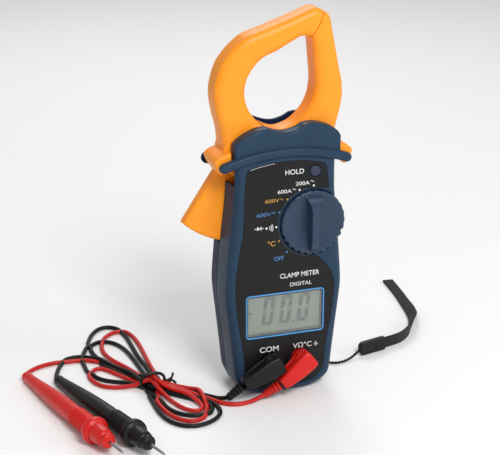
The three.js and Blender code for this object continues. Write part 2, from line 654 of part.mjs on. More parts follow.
for (const plug of PLUGS) {
  add(`${plug.name}_plug_body`, plugBody(plug), plug.material);
  add(`${plug.name}_plug_pin`, drum(plug.x, SOCKET_Z, 1.75, PLUG.shoulder - 3, 0, 14), BRASS);
  add(`${plug.name}_strain_relief`, strainRelief(plug), plug.material);
}

// ---------------------------------------------------------------- probes
// Each probe lies on its round finger guard and on its tail.
const PROBES = [
  { name: "black", tip: [-90, -84.1, 9.3], tail: [-121.7, 33.7, 3], material: BLACK },
  { name: "red", tip: [-109.9, -75.2, 9.3], tail: [-138.5, 44.2, 3], material: RED },
];
const GUARD_RADIUS = 7.6;

for (const { name, tip, tail, material } of PROBES) {
  const length = v3(tip).distanceTo(v3(tail));
  const ribs = [43, 47, 51].flatMap((s) => [[4.9, s - 1.3], [5.4, s - 0.8], [5.4, s + 0.8], [4.9,
    s + 1.3]]);
  const body = [
    [0, 15.7], [2.6, 15.7], [3.4, 16.5], [3.5, 20], [4.6, 21], [5.4, 31], [GUARD_RADIUS, 32],
      [GUARD_RADIUS, 34.4],
    [5.9, 35.6], [5.6, 39], ...ribs, [4.9, 57], [5.1, 62], [4.9, 80], [4, 98], [3, 112], [2.8,
      length - 1], [2, length], [0, length],
  ];
  add(
    `${name}_probe_body`,
    cut(turned(tip, tail, body, 14), rod(past(tail, tip, 1), past(tail, tip, -22.5), 1.3, 1.3, 8)),
    material,
  );
  add(
    `${name}_probe_needle`,
    turned(tip, tail, [[0, 0], [0.25, 0], [1, 3.2], [1, 22], [0, 22]], 8),
    STEEL,
  );
}

// ---------------------------------------------------------------- leads
// The leads run along the floor from the plugs to a tied figure-of-eight hank, and from it to the probes.
const FLOOR = CORD_RADIUS + 0.05;
const HANK = curve(
  [
    [-70, 106], [-84, 104], [-97, 84], [-103.5, 58], [-103, 32], [-92, 18], [-79, 9], [-78, -20], [-70,
      -43],
    [-56, -47.5], [-43.5, -39], [-41.5, -24], [-46, -8], [-57, 2], [-63, 10], [-64, 26], [-60, 60], [-62,
      92],
    [-70, 106],
  ],
  34,
).slice(0, -1);

const hank = (low, high) =>
  new THREE.ExtrudeGeometry(new THREE.Shape(turnedAnticlockwise([...HANK])), {
    depth: high - low,
    bevelEnabled: false,
  }).translate(0, 0, low);

const LEADS = {
  black_lead_plug_side: [past(PLUGS[0].arm, PLUGS[0].end, 2 * GAP), [-38.2, -20.6, 1.9], [-39.8, -18.6,
    FLOOR], [-41.1, -17, FLOOR]],
  red_lead_plug_side: [
    past(PLUGS[1].arm, PLUGS[1].end, 2 * GAP), [-17.5, -24, 1.7], [-22, -26.4, FLOOR], [-28, -27.9, FLOOR],
    [-34, -27.6, FLOOR], [-38.5, -25.4, FLOOR], [-40.1, -24.4, FLOOR],
  ],
  black_lead_probe_side: [
    past(PROBES[0].tip, PROBES[0].tail, 2 * GAP), [-122.2, 37.6, 3.6], [-120.6, 43, 4.4], [-118, 50,
      4.6], [-115, 57.5, 4.6],
    [-111, 63, 4], [-106.5, 65.2, 2.2], [-104, 65.2, FLOOR],
  ],
  red_lead_probe_side: [
    past(PROBES[1].tip, PROBES[1].tail, 2 * GAP), [-138.4, 48.5, 2.2], [-135.4, 53.6, FLOOR], [-128,
      58.2, FLOOR],
    [-118, 60.4, FLOOR], [-109, 59.6, FLOOR], [-105.2, 57.8, FLOOR],
  ],
};

for (const [name, route] of Object.entries(LEADS))
  add(name, tube(route, CORD_RADIUS, Math.max(5, route.length * 2)), name.startsWith("red") ? RED : BLACK);
add("black_lead_hank", hank(0.02, 3.1), BLACK);
add("red_lead_hank", hank(3.1 + GAP, 6.4), RED);

// The tie goes over the waist of the hank and is twisted together at one side.
function twistTie() {
  const [low, high] = [-82.2, -59.6];
  const bar = (x0, x1, z0, z1) => block(x0, x1, 8, 11, z0, z1);
  return join(bar(low, high, 6.8, 8), bar(low, low + 1.1, 0, 7.5), bar(high - 1.1, high, 0, 7.5));
}
add("twist_tie", twistTie(), BLACK);

// ---------------------------------------------------------------- wrist strap
const STRAP_CORD = [
  [31.2, 11, 8.6], [33, 11.4, 4.6], [36.2, 9, 1.6], [41, 6.4, 1.1], [47, 6.6, 1], [53, 9.2, 1.4], [59.2,
    12.3, 3.5],
];
const STRAP_LINE = [
  [79.2, 18.6], [91.7, 22.7], [101, 30.6], [107.6, 40.4], [115.3, 56.1], [121.8, 86], [125.7, 117],
];
const STRAP = { width: 7, thickness: 1.5 };

// A webbing band on edge at the slider, which turns flat on the floor towards its far end.
function strapBand() {
  const line = new THREE.CatmullRomCurve3(STRAP_LINE.map(([x, y]) => new THREE.Vector3(x, y, 0)));
  const steps = 16;
  const rings = Array.from({ length: steps + 1 }, (_, i) => {
    const t = i / steps;
    const lean = radians(84 * (1 - THREE.MathUtils.smoothstep(t, 0.15, 0.75)));
    const along = line.getTangentAt(t);
    const across = new THREE.Vector3(along.y, -along.x, 0).multiplyScalar(Math.cos(lean));
    across.z = Math.sin(lean);
    const face = along.clone().cross(across);
    const [w, h] = [STRAP.width / 2, STRAP.thickness / 2];
    const middle = line.getPointAt(t);
    middle.z = 0.1 + w * Math.sin(lean) + h * Math.cos(lean);
    return [[-w, -h], [w, -h], [w, h], [-w, h]].map(([a, b]) =>
      middle.clone().addScaledVector(across, a).addScaledVector(face, b),
    );
  });
  return ribbonSkin(rings);
}

// A skin over four-cornered sections, closed at both ends.
function ribbonSkin(rings) {
  const positions = rings.flat().flatMap((p) => [p.x, p.y, p.z]);
  const last = (rings.length - 1) * 4;
  const index = [0, 2, 1, 0, 3, 2, last, last + 1, last + 2, last, last + 2, last + 3];
  for (let r = 0; r + 1 < rings.length; r++)
    for (let i = 0; i < 4; i++) {
      const [a, b] = [r * 4 + i, r * 4 + ((i + 1) % 4)];
      index.push(a, b, b + 4, a, b + 4, a + 4);
    }
  return new THREE.BufferGeometry()
    .setAttribute("position", new THREE.Float32BufferAttribute(positions, 3))
    .setIndex(index);
}

function strapSlider() {
  const outline = shapeOf(arc(-6.6, 3, 3, 180, 270, 4), [[9.4, 0], [9.4, 8.2]], arc(-6.6, 5.2, 3, 90,
    180, 4));
  return slab(outline, -1.8, 1.8, 0.5, 1).rotateZ(Math.atan2(4.4, 17.7)).translate(69.4, 15.4, 0.1);
}

add("strap_cord", tube(STRAP_CORD, 0.8, 16, 8), BLACK);
add("strap_slider", strapSlider(), BLACK);
add("strap_band", strapBand(), BLACK);

export default meter;
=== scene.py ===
# A clamp meter with its test leads and wrist strap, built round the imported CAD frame.
# Lengths are written in millimetres and turned into metres where a mesh is made.
import math
import bmesh
import bpy
import numpy as np
from mathutils import Matrix, Vector, geometry


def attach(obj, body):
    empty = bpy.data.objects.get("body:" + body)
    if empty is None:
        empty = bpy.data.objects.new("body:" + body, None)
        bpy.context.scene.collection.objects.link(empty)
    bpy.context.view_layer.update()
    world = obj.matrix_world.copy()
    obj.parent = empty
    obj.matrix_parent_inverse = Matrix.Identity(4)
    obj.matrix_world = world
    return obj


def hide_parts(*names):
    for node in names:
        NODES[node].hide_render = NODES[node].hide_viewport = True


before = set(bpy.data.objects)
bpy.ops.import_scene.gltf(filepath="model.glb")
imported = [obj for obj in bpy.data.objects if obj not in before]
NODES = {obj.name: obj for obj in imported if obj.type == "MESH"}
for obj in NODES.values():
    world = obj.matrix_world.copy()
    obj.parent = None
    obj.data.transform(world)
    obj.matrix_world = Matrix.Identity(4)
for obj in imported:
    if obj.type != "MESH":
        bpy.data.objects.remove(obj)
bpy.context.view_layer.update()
MM = 0.001

# ---------------------------------------------------------------- driving dimensions, as in the CAD part
GAP = 0.3
CASE_FRONT, CASE_REAR, PARTING, WALL = -18.0, 18.0, -2.0, 2.0
SIDE_FLARE = 0.045
JAW_FRONT, JAW_REAR = -9.2, 7.2
PIVOT, PIVOT_RADIUS, HUB_RADIUS = (-18.0, 143.0), 2.0, 15.6
TRIGGER_RADIUS, TRIGGER_FRONT, TRIGGER_REAR = 54.0, PARTING + GAP, 7.0
RIDGE_RADIUS, RIDGE_Z, RIDGE_HALF = 108.0, 36.0, 2.6
KNOB, KNOB_RADIUS, KNOB_FRONT, NOTCHES = (15.3, 102.5), 18.8, -20.6, 26
DIAL, DIAL_RADIUS = (16.0, 101.7), 21.9  # the ring of printed dots
HOLD, HOLD_RADIUS = (16.6, 132.1), 3.1
SOCKETS, SOCKET_Z = (-9.5, 9.5), 20.0
SCREEN_Z, SCREEN_HALF_WIDTH, SCREEN_HALF_HEIGHT, SCREEN_LINE = 48.9, 23.1, 12.85, 0.75
CORD = 2.5  # lead diameter
JAW_ROOM = 0.4  # between the jaws and the two shells
HEAD_LEFT, HEAD_RIGHT, HEAD_FOOT = 29.3, 32.4, 137.8  # how far the head cover reaches, and where it starts
WELL_RADIUS = 19.2  # the shallow well that the knob turns in
STRAP_EYE = (30.9, 8.5)


# ---------------------------------------------------------------- lines and outlines
def spline(points, steps):
    """A smooth line through the points, evenly parted between them."""
    p = [np.array(q, float) for q in points]
    last = len(p) - 1
    out = []
    for k in range(steps + 1):
        t = k / steps * last
        i = min(int(t), last - 1)
        w = t - i
        a, b, c, d = p[max(i - 1, 0)], p[i], p[i + 1], p[min(i + 2, last)]
        v0, v1 = (c - a) / 2, (d - b) / 2
        out.append((2 * b - 2 * c + v0 + v1) * w**3 + (-3 * b + 3 * c - 2 * v0 - v1) * w**2 + v0 * w + b)
    return out


def arc(centre, radius, start, end, steps):
    angles = [math.radians(start + (end - start) * i / steps) for i in range(steps + 1)]
    return [np.array((centre[0] + radius * math.cos(a), centre[1] + radius * math.sin(a))) for a in angles]


def area(points):
    p = np.array(points)
    q = np.roll(p, -1, axis=0)
    return float((p[:, 0] * q[:, 1] - q[:, 0] * p[:, 1]).sum() / 2)


def turned_to(points, sign):
    return list(points) if area(points) * sign > 0 else list(points)[::-1]


def inset(points, distance):
    """A closed outline moved to its left by a distance."""
    p = np.array(points, float)
    before, after = p - np.roll(p, 1, axis=0), np.roll(p, -1, axis=0) - p
    before /= np.linalg.norm(before, axis=1)[:, None]
    after /= np.linalg.norm(after, axis=1)[:, None]
    normal = np.stack([-before[:, 1] - after[:, 1], before[:, 0] + after[:, 0]], 1)
    normal /= np.linalg.norm(normal, axis=1)[:, None]
    lean = normal[:, 0] * -before[:, 1] + normal[:, 1] * before[:, 0]
    return p + normal * (distance / np.maximum(0.5, lean))[:, None]


def rounded_rectangle(half_width, half_height, radius, z, steps=8, x=0.0):
    w, h = half_width - radius, half_height - radius
    return [
        *arc((x + w, z - h), radius, -90, 0, steps),
        *arc((x + w, z + h), radius, 0, 90, steps),
        *arc((x - w, z + h), radius, 90, 180, steps),
        *arc((x - w, z - h), radius, 180, 270, steps),
    ]


def parted(points, spacing):
    """The same closed outline with its long sides parted into shorter ones."""
    out = []
    for a, b in zip(points, [*points[1:], points[0]]):
        a, b = np.array(a, float), np.array(b, float)
        n = max(1, round(float(np.linalg.norm(b - a)) / spacing))
        out += [a + (b - a) * k / n for k in range(n)]
    return out


def without_doubles(points, least=0.05):
    out = []
    for p in points:
        if not out or np.linalg.norm(np.array(p) - out[-1]) > least:
            out.append(np.array(p, float))
    if np.linalg.norm(out[0] - out[-1]) < least:
        out.pop()
    return out


# ---------------------------------------------------------------- meshes
def link(name, data):
    piece = bpy.data.objects.new(name, data)
    bpy.context.scene.collection.objects.link(piece)
    return piece


def solid(name, corners, faces):
    """A mesh piece from corners in millimetres, with its faces turned outwards."""
    mesh = bpy.data.meshes.new(name)
    mesh.from_pydata([[c * MM for c in p] for p in corners], [], faces)
    work = bmesh.new()
    work.from_mesh(mesh)
    bmesh.ops.recalc_face_normals(work, faces=work.faces)
    work.to_mesh(mesh)
    work.free()
    return link(name, mesh)


def distance_to(points, loops):
    best = np.full(len(points), 1e9)
    for loop in loops:
        a = np.array(loop)
        ab = np.roll(a, -1, axis=0) - a
        away = points[:, None, :] - a[None]
        t = np.clip((away * ab).sum(2) / np.maximum((ab * ab).sum(1), 1e-12), 0, 1)
        best = np.minimum(best, np.sqrt(((away - t[..., None] * ab) ** 2).sum(2)).min(1))
    return best


def within(points, loops):
    x, z = points[:, 0][:, None], points[:, 1][:, None]
    odd = np.zeros(len(points), bool)
    for loop in loops:
        a = np.array(loop)
        b = np.roll(a, -1, axis=0)
        crosses = (a[:, 1] > z) != (b[:, 1] > z)
        rise = np.where(b[:, 1] == a[:, 1], 1e-12, b[:, 1] - a[:, 1])
        odd ^= (crosses & (x < (b[:, 0] - a[:, 0]) * (z - a[:, 1]) / rise + a[:, 0])).sum(1) % 2 == 1
    return odd


def thinned(points, gap):
    kept, cells = [], {}
    for p in points:
        cell = (int(math.floor(p[0] / gap)), int(math.floor(p[1] / gap)))
        near = (q for i in (-1, 0, 1) for j in (-1, 0, 1) for q in cells.get((cell[0] + i, cell[1] + j), ()))
        if all((p[0] - q[0]) ** 2 + (p[1] - q[1]) ** 2 > gap * gap for q in near):
            cells.setdefault(cell, []).append(p)
            kept.append(p)
    return kept


def pillow(name, outline, front, back, front_edge=(0, 0), back_edge=(0, 0), holes=(), spacing=2.4,
           rings=5, relief=None, warp=None, creases=()):
    """An outline in X and Z made solid along Y.

    Each edge is a quarter ellipse, given by how far it reaches in and how deep it is. The relief moves the
    front face, the warp moves every corner, and creases are lines that the mesh of the front face follows.
    """
    loops = [turned_to(without_doubles(outline), 1)] + [turned_to(without_doubles(h), -1) for h in holes]
    # the triangulation works on 32-bit numbers, so the tests beside it do too
    loops = [list(np.array(loop, np.float32).astype(float)) for loop in loops]
    reach = max(front_edge[0], back_edge[0])
    steps = sorted(
        w * (1 - math.cos(k * math.pi / 2 / rings))
        for w in {front_edge[0], back_edge[0]} if w > 0 for k in range(1, rings + 1)
    )
    found = []
    for d in steps:
        for loop in loops:
            ring = inset(loop, d)
            ring = ring[within(ring, loops)]
            found += list(ring[distance_to(ring, loops) > d - 0.03 - 0.02 * d])
    rim = np.array([p for loop in loops for p in loop])
    low, high = rim.min(0), rim.max(0)
    rows = np.arange(low[1] - spacing, high[1] + spacing, spacing * 0.866)
    grid = np.array([
        (x + (spacing / 2 if j % 2 else 0), z)
        for j, z in enumerate(rows) for x in np.arange(low[0] - spacing, high[0] + spacing, spacing)
    ])
    grid = grid[within(grid, loops)]
    if len(grid):
        grid = grid[distance_to(grid, loops) > reach + 0.45 * spacing]
    for crease in creases:
        away = np.linalg.norm(grid[:, None, :] - np.array(crease)[None], axis=2).min(1)
        grid = grid[away > 0.55 * spacing]
        found += [p for p in np.array(crease) if distance_to(p[None], loops)[0] > reach]
    inner = thinned([*found, *grid], 0.14)
    points = [Vector(p) for p in rim] + [Vector(p) for p in inner]
    edges, first = [], 0
    for loop in loops:
        edges += [(first + i, first + (i + 1) % len(loop)) for i in range(len(loop))]
        first += len(loop)
    flat, _, triangles, source, _, _ = geometry.delaunay_2d_cdt(points, edges, [], 0, 1e-6)
    place = np.array([(p.x, p.y) for p in flat])
    centres = np.array([place[list(t)].mean(0) for t in triangles])
    triangles = [t for t, keep in zip(triangles, within(centres, loops)) if keep]
    d = distance_to(place, loops)
    index = {}
    for i, given in enumerate(source):
        for g in given:
            if g < len(rim):
                index[g] = i
                d[i] = 0

    def edge(size):
        w, h = size
        if w <= 0:
            return np.zeros(len(d))
        return h * (1 - np.sqrt(np.clip(1 - np.clip(1 - d / w, 0, 1) ** 2, 0, 1)))

    x, z = place[:, 0], place[:, 1]
    y_front = front + edge(front_edge) + (relief(x, z, d) if relief else 0)
    y_back = back - edge(back_edge)
    count = len(place)
    corners = np.concatenate([np.stack([x, y_front, z], 1), np.stack([x, y_back, z], 1)])
    faces = [tuple(t) for t in triangles] + [tuple(count + i for i in reversed(t)) for t in triangles]
    first = 0
    for loop in loops:
        n = len(loop)
        for i in range(n):
            a, b = index[first + i], index[first + (i + 1) % n]
            faces.append((a, count + a, count + b, b))
        first += n
    used = sorted({i for f in faces for i in f})
    renumber = {old: new for new, old in enumerate(used)}
    corners = corners[used]
    faces = [tuple(renumber[i] for i in f) for f in faces]
    if warp:
        corners = warp(corners)
    return solid(name, corners.tolist(), faces)


def block(x0, x1, y0, y1, z0, z1):
    corners = [(x, y, z) for x in (x0, x1) for y in (y0, y1) for z in (z0, z1)]
    faces = [(0, 1, 3, 2), (4, 6, 7, 5), (0, 4, 5, 1), (2, 3, 7, 6), (0, 2, 6, 4), (1, 5, 7, 3)]
    return solid("tool", corners, faces)


def lathe(name, a, b, profile, sides=56):
    """A turned piece: its profile is (radius, distance from a) pairs along the line from a to b."""
    a, b = Vector(a), Vector(b)
    turn = Vector((0, 0, 1)).rotation_difference((b - a).normalized()).to_matrix()
    corners, faces, rows = [], [], []
    for radius, along in profile:
        if radius < 1e-6:
            rows.append([len(corners)])
            corners.append(a + turn @ Vector((0, 0, along)))
            continue
        rows.append(list(range(len(corners), len(corners) + sides)))
        for i in range(sides):
            angle = 2 * math.pi * i / sides
            corners.append(a + turn @ Vector((radius * math.cos(angle), radius * math.sin(angle), along)))
    for low, high in zip(rows, rows[1:]):
        for i in range(sides):
            j = (i + 1) % sides
            if len(low) == 1 and len(high) > 1:
                faces.append((low[0], high[i], high[j]))
            elif len(high) == 1 and len(low) > 1:
                faces.append((low[i], high[0], low[j]))
            elif len(low) > 1:
                faces.append((low[i], high[i], high[j], low[j]))
    for row in (rows[0], rows[-1]):
        if len(row) > 1:
            faces.append(tuple(row))
    return solid(name, [list(c) for c in corners], faces)


def drum(x, z, radius, front, back, sides=64):
    return lathe("tool", (x, front, z), (x, back, z), [(radius, 0), (radius, back - front)], sides)


def loft(name, rings):
    """A skin over a stack of closed rings with equal numbers of points, closed at both ends."""
    n = len(rings[0])
    faces = [
        (r * n + i, (r + 1) * n + i, (r + 1) * n + (i + 1) % n, r * n + (i + 1) % n)
        for r in range(len(rings) - 1) for i in range(n)
    ]
    faces += [tuple(range(n)), tuple(range((len(rings) - 1) * n, len(rings) * n))]
    return solid(name, [list(p) for ring in rings for p in ring], faces)


def settle(piece):
    """Makes what the modifiers give the piece's own mesh."""
    bpy.context.view_layer.update()
    made = bpy.data.meshes.new_from_object(piece.evaluated_get(bpy.context.evaluated_depsgraph_get()))
    piece.modifiers.clear()
    old, piece.data = piece.data, made
    made.name = piece.name
    bpy.data.meshes.remove(old)
    return piece


def combined(piece, operation, *tools):
    for tool in tools:
        change = piece.modifiers.new("combine", "BOOLEAN")
        change.operation, change.solver, change.object = operation, "MANIFOLD", tool
        settle(piece)
        if not piece.data.polygons:
            raise RuntimeError(f"{piece.name} was lost by {operation}")
        bpy.data.objects.remove(tool)
    return piece


def cut(piece, *tools):
    return combined(piece, "DIFFERENCE", *tools)


def join(piece, *tools):
    return combined(piece, "UNION", *tools)


def common(piece, *tools):
    return combined(piece, "INTERSECT", *tools)


def smooth(piece, angle=32):
    mesh = piece.data
    mesh.shade_smooth()
    mesh.set_sharp_from_angle(angle=math.radians(angle))
    return piece


def cleaned(piece, soften=0.0, segments=2):
    """Merges doubled corners, and rounds what edges are still sharp."""
    work = bmesh.new()
    work.from_mesh(piece.data)
    bmesh.ops.remove_doubles(work, verts=work.verts, dist=2e-6)
    bmesh.ops.dissolve_degenerate(work, edges=work.edges, dist=2e-6)
    work.to_mesh(piece.data)
    work.free()
    if soften:
        bevel = piece.modifiers.new("soften", "BEVEL")
        bevel.width, bevel.segments, bevel.limit_method = soften * MM, segments, "ANGLE"
        bevel.angle_limit = math.radians(38)
        bevel.use_clamp_overlap = True
        settle(piece)
    return smooth(piece)


def place(piece, body, slot, *nodes, material=None):
    """Puts a finished piece on its body, in place of its CAD nodes."""
    if material:
        piece.data.materials.clear()
        piece.data.materials.append(material)
    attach(piece, body)
    if nodes:
        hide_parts(*nodes)
    return piece


# ---------------------------------------------------------------- materials
def linear(red, green, blue):
    def one(c):
        c /= 255
        return c / 12.92 if c <= 0.04045 else ((c + 0.055) / 1.055) ** 2.4

    return (one(red), one(green), one(blue), 1)


GRAIN_DEPTH = 0.00012


def finish_of(name, colour, roughness, grain=1400, bump=0.06, vary=0.06, blotch=90, metallic=0.0,
              spread=0.08, speck=None, specular=0.5):
    """A moulded or metal surface: slow colour drift, fine grain in the bump, and uneven gloss."""
    made = bpy.data.materials.new(name)
    made.use_nodes = True
    tree = made.node_tree
    shader = tree.nodes["Principled BSDF"]
    new, wire = tree.nodes.new, tree.links.new
    where = new("ShaderNodeTexCoord")

    def noise(scale, detail=4.0, rough=0.55):
        node = new("ShaderNodeTexNoise")
        node.inputs["Scale"].default_value = scale
        node.inputs["Detail"].default_value = detail
        node.inputs["Roughness"].default_value = rough
        wire(where.outputs["Object"], node.inputs["Vector"])
        return node.outputs["Fac"]

    def ranged(value, low, high):
        node = new("ShaderNodeMapRange")
        node.inputs["From Min"].default_value = 0.3
        node.inputs["From Max"].default_value = 0.7
        node.inputs["To Min"].default_value = low
        node.inputs["To Max"].default_value = high
        wire(value, node.inputs["Value"])
        return node.outputs["Result"]

    drift, fine, middle = noise(blotch), noise(grain, 3.0, 0.6), noise(grain / 7, 3.0)
    tint = new("ShaderNodeMix")
    tint.data_type = "RGBA"
    tint.inputs["A"].default_value = tuple(c * (1 - vary) for c in colour[:3]) + (1,)
    tint.inputs["B"].default_value = tuple(min(1, c * (1 + vary)) for c in colour[:3]) + (1,)
    wire(ranged(drift, 0, 1), tint.inputs["Factor"])
    base = tint.outputs["Result"]
    if speck:
        dots = new("ShaderNodeMix")
        dots.data_type = "RGBA"
        dots.inputs["B"].default_value = speck
        wire(ranged(noise(grain * 0.8, 1.0), 0, 0.35), dots.inputs["Factor"])
        wire(base, dots.inputs["A"])
        base = dots.outputs["Result"]
    wire(base, shader.inputs["Base Color"])
    wire(ranged(middle, roughness - spread / 2, roughness + spread / 2), shader.inputs["Roughness"])
    shader.inputs["Metallic"].default_value = metallic
    shader.inputs["IOR"].default_value = 1.46
    shader.inputs["Specular IOR Level"].default_value = specular
    raised = new("ShaderNodeBump")
    raised.inputs["Strength"].default_value = bump
    raised.inputs["Distance"].default_value = GRAIN_DEPTH
    wire(fine, raised.inputs["Height"])
    wire(raised.outputs["Normal"], shader.inputs["Normal"])
    return made


SLATE = finish_of("slate plastic", linear(40, 61, 82), 0.38, bump=0.10, vary=0.05, specular=0.14)
NAVY = finish_of("navy plastic", linear(20, 36, 66), 0.45, bump=0.07, vary=0.06, specular=0.06)
ORANGE = finish_of(
    "orange plastic", linear(255, 153, 30), 0.42, grain=1700, bump=0.08, vary=0.03, specular=0.4,
)
KNOB_BLUE = finish_of("knob plastic", linear(35, 55, 78), 0.34, bump=0.08, vary=0.05, specular=0.45)
HOLD_BLUE = finish_of("button plastic", linear(50, 55, 78), 0.45, bump=0.12, specular=0.35)
LABEL = finish_of(
    "label film", linear(19, 19, 20), 0.44, grain=2600, bump=0.05, vary=0.05, blotch=60, specular=0.3,
)
FRAME_BLUE = finish_of("blue line print", linear(80, 150, 205), 0.4, grain=2600, bump=0.03)
WHITE_PRINT_AND_HIGHLIGHT = finish_of("white print and painted highlight", linear(222, 222, 218), 0.5, grain=3000, bump=0.03, vary=0.03)
# white print, also used for a painted highlight along the label's upper edge
YELLOW_PRINT = finish_of("yellow print", linear(186, 138, 52), 0.5, grain=3000, bump=0.03)
BLUE_PRINT = finish_of("blue print", linear(66, 118, 168), 0.5, grain=3000, bump=0.03)
# painted highlight: a light grey colour that stands in for light along the label's edge round the knob
PAINTED_EDGE_HIGHLIGHT = finish_of("painted edge highlight", linear(92, 98, 106), 0.5, grain=3000, bump=0.03)
BLACK = finish_of("black plastic", linear(13, 14, 15), 0.42, bump=0.12, vary=0.1, specular=0.35)
BLACK_RUBBER = finish_of(
    "black rubber", linear(10, 11, 12), 0.46, grain=2200, bump=0.16, vary=0.12, specular=0.35,
)
RED = finish_of("red plastic", linear(205, 26, 18), 0.34, grain=1800, bump=0.09, vary=0.05, specular=0.4)
RED_RUBBER = finish_of(
    "red rubber", linear(196, 28, 22), 0.38, grain=2200, bump=0.12, vary=0.06, specular=0.4,
)
NEEDLE = finish_of(
    "needle steel", (0.30, 0.30, 0.32, 1), 0.3, grain=2400, bump=0.05, metallic=1.0, vary=0.06,
)
STEEL = finish_of("steel", (0.62, 0.63, 0.65, 1), 0.26, grain=2400, bump=0.05, metallic=1.0, vary=0.05)
BRASS = finish_of("brass", (0.72, 0.50, 0.2, 1), 0.3, grain=2400, bump=0.05, metallic=1.0, vary=0.08)
COPPER = finish_of(
    "copper winding", (0.55, 0.24, 0.11, 1), 0.38, grain=1500, bump=0.3, metallic=0.8, vary=0.15,
)
FERRITE = finish_of("core lamination", (0.075, 0.075, 0.08, 1), 0.55, grain=1600, bump=0.2, metallic=0.4)
BOARD = finish_of(
    "board", linear(28, 96, 54), 0.4, grain=1100, bump=0.12, vary=0.12, speck=(0.25, 0.4, 0.2, 1),
)
WHITE = finish_of("white plastic", linear(214, 212, 204), 0.45, bump=0.08)
CELL = finish_of("cell jacket", linear(70, 74, 82), 0.32, grain=1600, bump=0.06, metallic=0.6)
LCD = finish_of("display glass", linear(98, 112, 96), 0.24, grain=3000, bump=0.02, vary=0.05, blotch=45)
SEGMENT = finish_of("display segment", linear(28, 36, 32), 0.4, grain=3000, bump=0.02, vary=0.05)


def window_material():
    made = finish_of("window", (0.92, 0.95, 0.93, 1), 0.06, grain=900, bump=0.01, vary=0.01, spread=0.03)
    shader = made.node_tree.nodes["Principled BSDF"]
    shader.inputs["Alpha"].default_value = 0.1
    made.surface_render_method = "DITHERED"
    return made


def weave_material(name, colour, across, along):
    """Webbing: ribs across the strap and a diagonal in each, from the strap's own coordinates."""
    made = finish_of(name, colour, 0.62, grain=2600, bump=0.25, vary=0.2)
    tree = made.node_tree
    new, wire = tree.nodes.new, tree.links.new
    shader = tree.nodes["Principled BSDF"]
    given = new("ShaderNodeAttribute")
    given.attribute_name = "weave"
    heights = []
    for scale, bands in ((along, "X"), (across, "DIAGONAL")):
        wave = new("ShaderNodeTexWave")
        wave.bands_direction = bands
        wave.inputs["Scale"].default_value = scale
        wave.inputs["Distortion"].default_value = 0.6
        wire(given.outputs["Vector"], wave.inputs["Vector"])
        heights.append(wave.outputs["Fac"])
    total = new("ShaderNodeMath")
    wire(heights[0], total.inputs[0])
    wire(heights[1], total.inputs[1])
    raised = new("ShaderNodeBump")
    raised.inputs["Strength"].default_value = 0.8
    raised.inputs["Distance"].default_value = 0.00025
    wire(total.outputs[0], raised.inputs["Height"])
    wire(raised.outputs["Normal"], shader.inputs["Normal"])
    shader.inputs["Sheen Weight"].default_value = 0.03
    return made


WINDOW = window_material()
WEBBING = weave_material("webbing", linear(9, 9, 10), 0.55, 0.9)

# ---------------------------------------------------------------- outlines of the meter
SIDE = [
    (13, 0), (18.5, 1.5), (23.5, 3.8), (27.5, 7.5), (28.8, 13), (29.6, 21), (32, 43), (33.5, 56),
    (34.1, 65), (33.3, 78), (31.8, 95), (30.2, 110), (29.2, 123), (29.1, 139.9),
]


def mirrored(points):
    return [np.array((-p[0], p[1])) for p in reversed(points)]


def case_outline():
    right = spline(SIDE, 96)
    end = math.degrees(math.acos(29.1 / RIDGE_RADIUS))
    top = arc((0, RIDGE_Z), RIDGE_RADIUS, end, 180 - end, 28)[1:-1]
    return parted([*right, *top, *mirrored(right)], 2.0)


OUTLINE = case_outline()


def flared(corners):
    """The sides lean out towards the parting line."""
    y = corners[:, 1]
    share = np.where(y < PARTING, (y - CASE_FRONT) / (PARTING - CASE_FRONT), (y - 11) / (PARTING - 11))
    corners[:, 0] *= 1 + SIDE_FLARE * np.clip(share, 0, 1)
    return corners


def band_outline(half_angle, half_width):
    low, high = 90 - half_angle, 90 + half_angle

    def tip(angle):
        a = math.radians(angle)
        return (RIDGE_RADIUS * math.cos(a), RIDGE_Z + RIDGE_RADIUS * math.sin(a))

    return [
        *arc((0, RIDGE_Z), RIDGE_RADIUS + half_width, low, high, 60),
        *arc(tip(high), half_width, high, high + 180, 14)[1:-1],
        *arc((0, RIDGE_Z), RIDGE_RADIUS - half_width, high, low, 60),
        *arc(tip(low), half_width, low + 180, low + 360, 14)[1:-1],
    ]


def head_outline(rise, wide=HEAD_RIGHT):
    """The head cover dips in the middle, to follow the jaw opening."""
    right = [(wide, 150.4), (wide - 2, 153.3), (26.4, 156), (21, 158), (15.5, 158.8)]
    dip = [(10.8, 158.4), (6.6, 156.2), (0.6, 154.9), (-5, 155.7), (-10.6, 157.9)]
    left = [(-15, 157.5), (-19.5, 156), (-25, 153.2), (-HEAD_LEFT, 149.7)]
    crest = [*spline([*right, dip[0]], 24), *spline(dip, 20)[1:], *spline([dip[-1], *left], 22)[1:]]
    crest = [q + (0, rise) for q in crest]
    return parted([(wide, HEAD_FOOT), *crest, (-HEAD_LEFT, HEAD_FOOT)], 1.6)


LABEL_SIDE = [
    (24.1, 17), (25.3, 30), (28, 46), (29.5, 63), (29.2, 75), (26.4, 93), (25.2, 100), (24.1, 125),
    (23.6, 133),
]
LABEL_RADIUS = 19.9  # the label stops short of the knob


